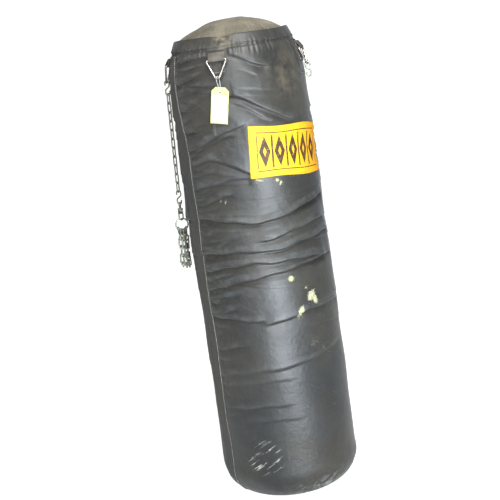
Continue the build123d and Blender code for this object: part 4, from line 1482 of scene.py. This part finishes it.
@dataclass
class Strap:
    """One hanging point: webbing sewn to the wall, a loop of webbing round the ring, and the ring."""

    casing: Casing
    side: str
    width: float = 0.038
    base_wall: float = 0.0024
    loop_wall: float = 0.0021
    base_low: float = 1.052
    base_high: float = 1.105
    fold: tuple[float, float] = (0.157102, 1.09962)
    bar: tuple[float, float] = (0.164597, 1.08527)
    fold_radius: float = 0.0022
    bar_radius: float = 0.00465

    def base(self) -> bpy.types.Object:
        """Make the flat webbing on the wall: its section carried up the shoulder.

        Returns:
            The sewn-down webbing.
        """
        z = np.linspace(self.base_low + 0.0004, self.base_high - 0.0004, 40)
        angle = self.casing.strap_angles[self.side]
        section = rounded_section(self.width, self.base_wall * 0.92, 40, 8.0)
        span = np.degrees(section[None, :, 0] / self.casing.radius(z)[:, None])
        lift = self.base_wall * 0.5 + section[None, :, 1]
        points = self.casing.place(angle + span, np.broadcast_to(z[:, None], span.shape), lift)
        wide = np.append(section[:, 0], section[0, 0])
        uv = np.stack(np.broadcast_arrays(wide[None], z[:, None]), -1)
        piece = Surface(f"strap_tail_{self.side}", points, uv).build(closed=True, capped=True)
        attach(piece, "bag")
        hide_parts(f"strap_base_{self.side}")
        WEB_DARK.on(piece)
        return piece

    def loop(self) -> bpy.types.Object:
        """Make the band round two parallel rods, the fold and the bar: two arcs joined by tangents.

        Returns:
            The band.
        """
        out, side, up = radial_axes(self.casing.strap_angles[self.side])
        half = self.loop_wall / 2.0
        start, stop = np.array(self.fold), np.array(self.bar)
        along = stop - start
        gap = float(np.linalg.norm(along))
        heading = math.atan2(along[1], along[0])
        tilt = math.asin((self.bar_radius - self.fold_radius) / gap)
        small, large = self.fold_radius - half, self.bar_radius - half
        far = np.linspace(heading - math.pi / 2.0 - tilt, heading + math.pi / 2.0 + tilt, 26)
        near = np.linspace(heading + math.pi / 2.0 + tilt, heading + 1.5 * math.pi - tilt, 14)
        ends = [stop + large * np.stack([np.cos(far), np.sin(far)], 1),
                start + small * np.stack([np.cos(near), np.sin(near)], 1)]
        faces = [np.stack([np.cos(x), np.sin(x)], 1) for x in (far, near)]
        t = np.linspace(0.0, 1.0, 10)[1:-1, None]
        there = ends[0][-1] + (ends[1][0] - ends[0][-1]) * t
        back = ends[1][-1] + (ends[0][0] - ends[1][-1]) * t
        route = np.concatenate([ends[0], there, ends[1], back])
        flats = [np.repeat(arc[-1:], len(t), 0) for arc in faces]
        facing = np.concatenate([faces[0], flats[0], faces[1], flats[1]])
        centres = route[:, :1] * out + route[:, 1:] * up
        face = facing[:, :1] * out + facing[:, 1:] * up
        across = np.broadcast_to(side, centres.shape)
        points, uv = strip_along(centres, across, face, self.width * 0.99, self.loop_wall * 0.96)
        piece = Surface(f"strap_band_{self.side}", points, uv).build(closed=True, looped=True)
        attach(piece, f"loop_{self.side}")
        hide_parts(f"strap_loop_{self.side}")
        WEB.on(piece)
        return piece

    def sewing(self) -> None:
        """A box of stitches on the sewn-down webbing and a double row across the band."""
        angle = self.casing.strap_angles[self.side]
        half = math.degrees((self.width / 2.0 - 0.004) / 0.16)
        low, high = self.base_low + 0.004, self.base_high - 0.0135
        corners = np.array([(-half, low), (half, low), (half, high), (-half, high), (-half, low)])
        s = np.linspace(0.0, 4.0, 161)
        theta = angle + np.interp(s, range(5), corners[:, 0])
        z = np.interp(s, range(5), corners[:, 1])
        path = self.casing.place(theta, z, self.base_wall * 0.93)
        box = Stitching(0.0036, 0.7, 0.00045).row(f"strap_box_{self.side}", path, self.casing.normal(theta, z))
        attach(box, "bag")
        PALE_THREAD.on(box)
        out, side, up = radial_axes(angle)
        start, stop = np.array(self.fold), np.array(self.bar)
        heading = math.atan2(*(stop - start)[::-1])
        off = np.array([math.cos(heading + math.pi / 2.0), math.sin(heading + math.pi / 2.0)])
        for index, share in enumerate((0.34, 0.55)):
            radius = self.fold_radius + (self.bar_radius - self.fold_radius) * share
            point = start + (stop - start) * share + off * (radius + 0.0001)
            x = np.linspace(-1.0, 1.0, 40)[:, None] * (self.width / 2.0 - 0.003)
            line = point[0] * out + point[1] * up + x * side
            normal = np.broadcast_to(off[0] * out + off[1] * up, line.shape)
            row = Stitching(0.0032, 0.7, 0.00045).row(f"band_stitches_{self.side}_{index}", line, normal)
            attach(row, f"loop_{self.side}")
            THREAD.on(row)

    def build(self) -> None:
        """Make the strap and dress the ring."""
        self.base()
        self.loop()
        self.sewing()
        NICKEL.on(frame["nodes"][f"triangle_ring_{self.side}"])


@dataclass
class Tag:
    """A strung card tag that hangs from the front ring."""

    casing: Casing
    width: float = 0.041
    length: float = 0.083
    chamfer: float = 0.009
    drop: float = 0.012
    hole: float = 0.0034
    wall: float = 0.0008
    turn: float = 11.0
    centre: tuple[float, float] = (0.170995, 1.0116)
    string_wire: float = 0.0012
    string_length: float = 0.0785
    string_points: tuple[Place, ...] = (
        (-0.04207, -0.16667, 1.0122),
        (-0.04234, -0.16762, 1.015),
        (-0.04406, -0.16792, 1.0266),
        (-0.04642, -0.17379, 1.0431),
        (-0.04471, -0.17311, 1.0482),
        (-0.04058, -0.16894, 1.0482),
        (-0.03886, -0.16826, 1.0431),
        (-0.03885, -0.1649, 1.0266),
        (-0.0404, -0.16441, 1.015),
        (-0.04067, -0.16517, 1.0122),
    )

    def outline(self, count: int) -> Array:
        """Edge of the card measured from its hole: a rectangle with its two top corners cut off.

        Args:
            count: Even steps along the edge. Each corner is one point more.

        Returns:
            Array of n by 2.
        """
        half, top, low = self.width / 2.0, self.drop, self.drop - self.length
        cut = self.chamfer
        corners = np.array([(-half, low), (half, low), (half, top - cut), (half - cut, top), (cut - half, top),
                            (-half, top - cut), (-half, low)])
        run = np.concatenate([[0.0], np.cumsum(np.linalg.norm(np.diff(corners, axis=0), axis=1))])
        at = np.unique(np.concatenate([np.linspace(0.0, run[-1], count, endpoint=False), run[:-1]]))
        return np.stack([np.interp(at, run, corners[:, k]) for k in (0, 1)], 1)

    def card(self) -> None:
        """A closed sheet: rings of points from the hole to the edge, in front and behind.

        Its middle stands off by a shallow bend c x^2 - b y, so that it isn't dead flat.
        """
        edge = self.outline(140)
        angle = np.arctan2(edge[:, 1], edge[:, 0])
        inner = self.hole * np.stack([np.cos(angle), np.sin(angle)], 1)
        s = np.array([0.0, 0.03, 0.12, 0.25, 0.4, 0.55, 0.7, 0.82, 0.92, 0.985, 1.0])
        half = self.wall / 2.0
        round_off = np.array([0.6, 1.0, 1.0, 1.0, 1.0, 1.0, 1.0, 1.0, 1.0, 1.0, 0.55])
        shares = np.concatenate([s, s[::-1]])
        faces = np.concatenate([half * round_off, -half * round_off[::-1]])
        flat = inner[None] + (edge - inner)[None] * shares[:, None, None]
        bend = 1.6 * flat[..., 0] ** 2 - 0.12 * flat[..., 1] ** 2
        out, side, up = radial_axes(self.casing.strap_angles["front"])
        t = math.radians(self.turn)
        x_axis = math.cos(t) * side - math.sin(t) * up
        y_axis = math.sin(t) * side + math.cos(t) * up
        middle = self.centre[0] * out + self.centre[1] * up
        depth = faces[:, None] + bend
        points = middle + flat[..., :1] * x_axis + flat[..., 1:] * y_axis + depth[..., None] * out
        back = np.where(faces[:, None, None] < 0.0, flat * 0.0 + np.array([0.018, 0.0]), flat)
        uv = np.concatenate([back, back[:, :1]], 1)
        card = Surface("tag_board", points, uv).build(closed=True, looped=True)
        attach(card, "tag")
        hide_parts("tag_card")
        CARD.on(card)
        EYELET.on(frame["nodes"]["tag_eyelet"])

    def string(self) -> None:
        """A looped string over the ring's crown, its two ends meeting in the eyelet."""
        curve = bpy.data.curves.new("tag_cord", "CURVE")
        curve.dimensions = "3D"
        curve.bevel_depth = 1.0
        curve.bevel_resolution = 4
        curve.resolution_u = 10
        curve.render_resolution_u = 10
        curve.use_fill_caps = True
        spline = curve.splines.new("NURBS")
        spline.points.add(len(self.string_points) - 1)
        flat = [c for point in self.string_points for c in (*point, 1.0)]
        spline.points.foreach_set("co", flat)
        spline.points.foreach_set("radius", [self.string_wire / 2.0] * len(self.string_points))
        spline.order_u = 3
        spline.use_endpoint_u = True
        cord = bpy.data.objects.new("tag_cord", curve)
        bpy.context.scene.collection.objects.link(cord)
        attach(cord, "tag")
        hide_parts("tag_string")
        STRING.on(cord)

    def build(self) -> None:
        """Make the card and its string."""
        self.card()
        self.string()
        log.info("tag hung")


class Hardware:
    """The chains, hooks and swivel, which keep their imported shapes."""

    def build(self) -> None:
        """Dress each metal node."""
        for name, node in frame["nodes"].items():
            if name in ("swivel_nut", "swivel_washer"):
                DARK_STEEL.on(node)
            elif name.startswith(("chain_link", "gather", "s_hook", "swivel")):
                ZINC.on(node)
        log.info("hardware dressed")


@dataclass
class Studio:
    """Camera, soft lights and a pale seamless floor."""

    eye: Place = (0.0, -2.61468, 1.11801)
    yaw: float = -0.6198
    pitch: float = 10.9938
    roll: float = 8.3646
    lens: float = 77.097
    sensor: float = 36.0
    aim_height: float = 0.6
    floor_glow: float = 0.86

    def camera(self) -> None:
        """Place the camera from its yaw, pitch and roll."""
        yaw, pitch, roll = (math.radians(x) for x in (self.yaw, self.pitch, self.roll))
        ahead = Vector((math.sin(yaw) * math.cos(pitch), math.cos(yaw) * math.cos(pitch), -math.sin(pitch)))
        right = Vector((math.cos(yaw), -math.sin(yaw), 0.0))
        up = right.cross(ahead)
        level = right * math.cos(roll) - up * math.sin(roll)
        top = right * math.sin(roll) + up * math.cos(roll)
        data = bpy.data.cameras.new("camera")
        data.lens = self.lens
        data.sensor_width = self.sensor
        data.clip_start, data.clip_end = 0.05, 100.0
        camera = bpy.data.objects.new("camera", data)
        turn = Matrix((level, top, -ahead)).transposed().to_4x4()
        camera.matrix_world = Matrix.Translation(self.eye) @ turn
        bpy.context.scene.collection.objects.link(camera)
        bpy.context.scene.camera = camera

    def softbox(
        self, name: str, azimuth: float, height: float, away: float, size: tuple[float, float], power: float,
        colour: Colour = (1.0, 1.0, 1.0),
    ) -> None:
        """Hang an area light, aimed at the middle of the bag.

        Args:
            name: Name of the light.
            azimuth: Degrees round the bag from the front.
            height: Metres above the floor.
            away: Metres from the bag's axis.
            size: Width and height.
            power: Watts.
            colour: Its colour.
        """
        data = bpy.data.lights.new(name, "AREA")
        data.shape = "RECTANGLE"
        data.size, data.size_y = size
        data.energy = power
        data.color = colour
        light = bpy.data.objects.new(name, data)
        a = math.radians(azimuth)
        place = Vector((math.sin(a) * away, -math.cos(a) * away, height))
        aim = Vector((0.0, 0.0, self.aim_height)) - place
        light.matrix_world = Matrix.Translation(place) @ aim.to_track_quat("-Z", "Y").to_matrix().to_4x4()
        bpy.context.scene.collection.objects.link(light)

    def cove(self) -> None:
        """Floor that curves up behind: a straight run, a quarter circle and an upright."""
        run, bend, rise, wide = 5.0, 1.6, 6.0, 9.0
        a = np.radians(np.linspace(0.0, 90.0, 24))
        y = np.concatenate([[-6.0, 0.0], run - bend + bend * np.sin(a), [run]])
        z = np.concatenate([[0.0, 0.0], bend - bend * np.cos(a), [rise]])
        x = np.linspace(-wide, wide, 5)
        points = np.stack(np.broadcast_arrays(x[None], y[:, None], z[:, None]), -1)
        floor = Surface("floor", points).build()
        material = bpy.data.materials.new("pale_floor")
        material.use_nodes = True
        shader = material.node_tree.nodes["Principled BSDF"]
        shader.inputs["Base Color"].default_value = (0.42, 0.42, 0.41, 1.0)
        shader.inputs["Roughness"].default_value = 0.9
        shader.inputs["Specular IOR Level"].default_value = 0.1
        shader.inputs["Emission Color"].default_value = (1.0, 1.0, 1.0, 1.0)
        g = Graph(material.node_tree)
        direct = g.add("LightPath").outputs["Is Camera Ray"]
        g.tree.links.new(g.math("MULTIPLY", direct, self.floor_glow), shader.inputs["Emission Strength"])
        floor.data.materials.append(material)

    def world(self, strength: float = 0.12, seen: float = 1.0) -> None:
        """Put even white surroundings round the scene, brighter to the eye than the light they give.

        Args:
            strength: How strongly they light the bag.
            seen: How bright they look.
        """
        world = bpy.data.worlds.new("studio")
        world.use_nodes = True
        g = Graph(world.node_tree)
        background = world.node_tree.nodes["Background"]
        background.inputs["Color"].default_value = (1.0, 1.0, 1.0, 1.0)
        direct = g.add("LightPath").outputs["Is Camera Ray"]
        g.tree.links.new(g.blend(direct, strength, seen), background.inputs["Strength"])
        bpy.context.scene.world = world

    def build(self) -> None:
        """Set up the studio."""
        self.camera()
        self.cove()
        self.world()
        self.softbox("key", 16.0, 3.2, 1.9, (0.8, 0.8), 120.0)
        self.softbox("band", 17.0, 0.34, 2.2, (0.62, 0.64), 80.0, (0.84, 0.92, 1.0))
        self.softbox("front", 6.0, 1.45, 3.4, (0.7, 1.1), 56.0, (0.9, 0.95, 1.0))
        self.softbox("behind", 178.0, 2.9, 3.2, (1.6, 1.6), 36.0)
        self.softbox("left", -24.0, 2.3, 3.0, (0.9, 0.9), 42.0)
        self.softbox("side", -72.0, 1.7, 3.0, (1.2, 1.6), 9.0, (1.0, 0.95, 0.86))
        bpy.context.scene.view_settings.view_transform = "Standard"


def main() -> None:
    """Build every sub-assembly in order."""
    logging.basicConfig(level=logging.INFO, format="%(name)s: %(message)s")
    Studio().build()
    SharedEffects().build()
    casing = Casing()
    casing.build()
    SeamStrip(casing).build()
    TopCover(casing).build()
    BadgePatch(casing).build()
    FrayedThreads(casing).build()
    for side in casing.strap_angles:
        Strap(casing, side).build()
    Tag(casing).build()
    Hardware().build()


if __name__ == "__main__":
    main()
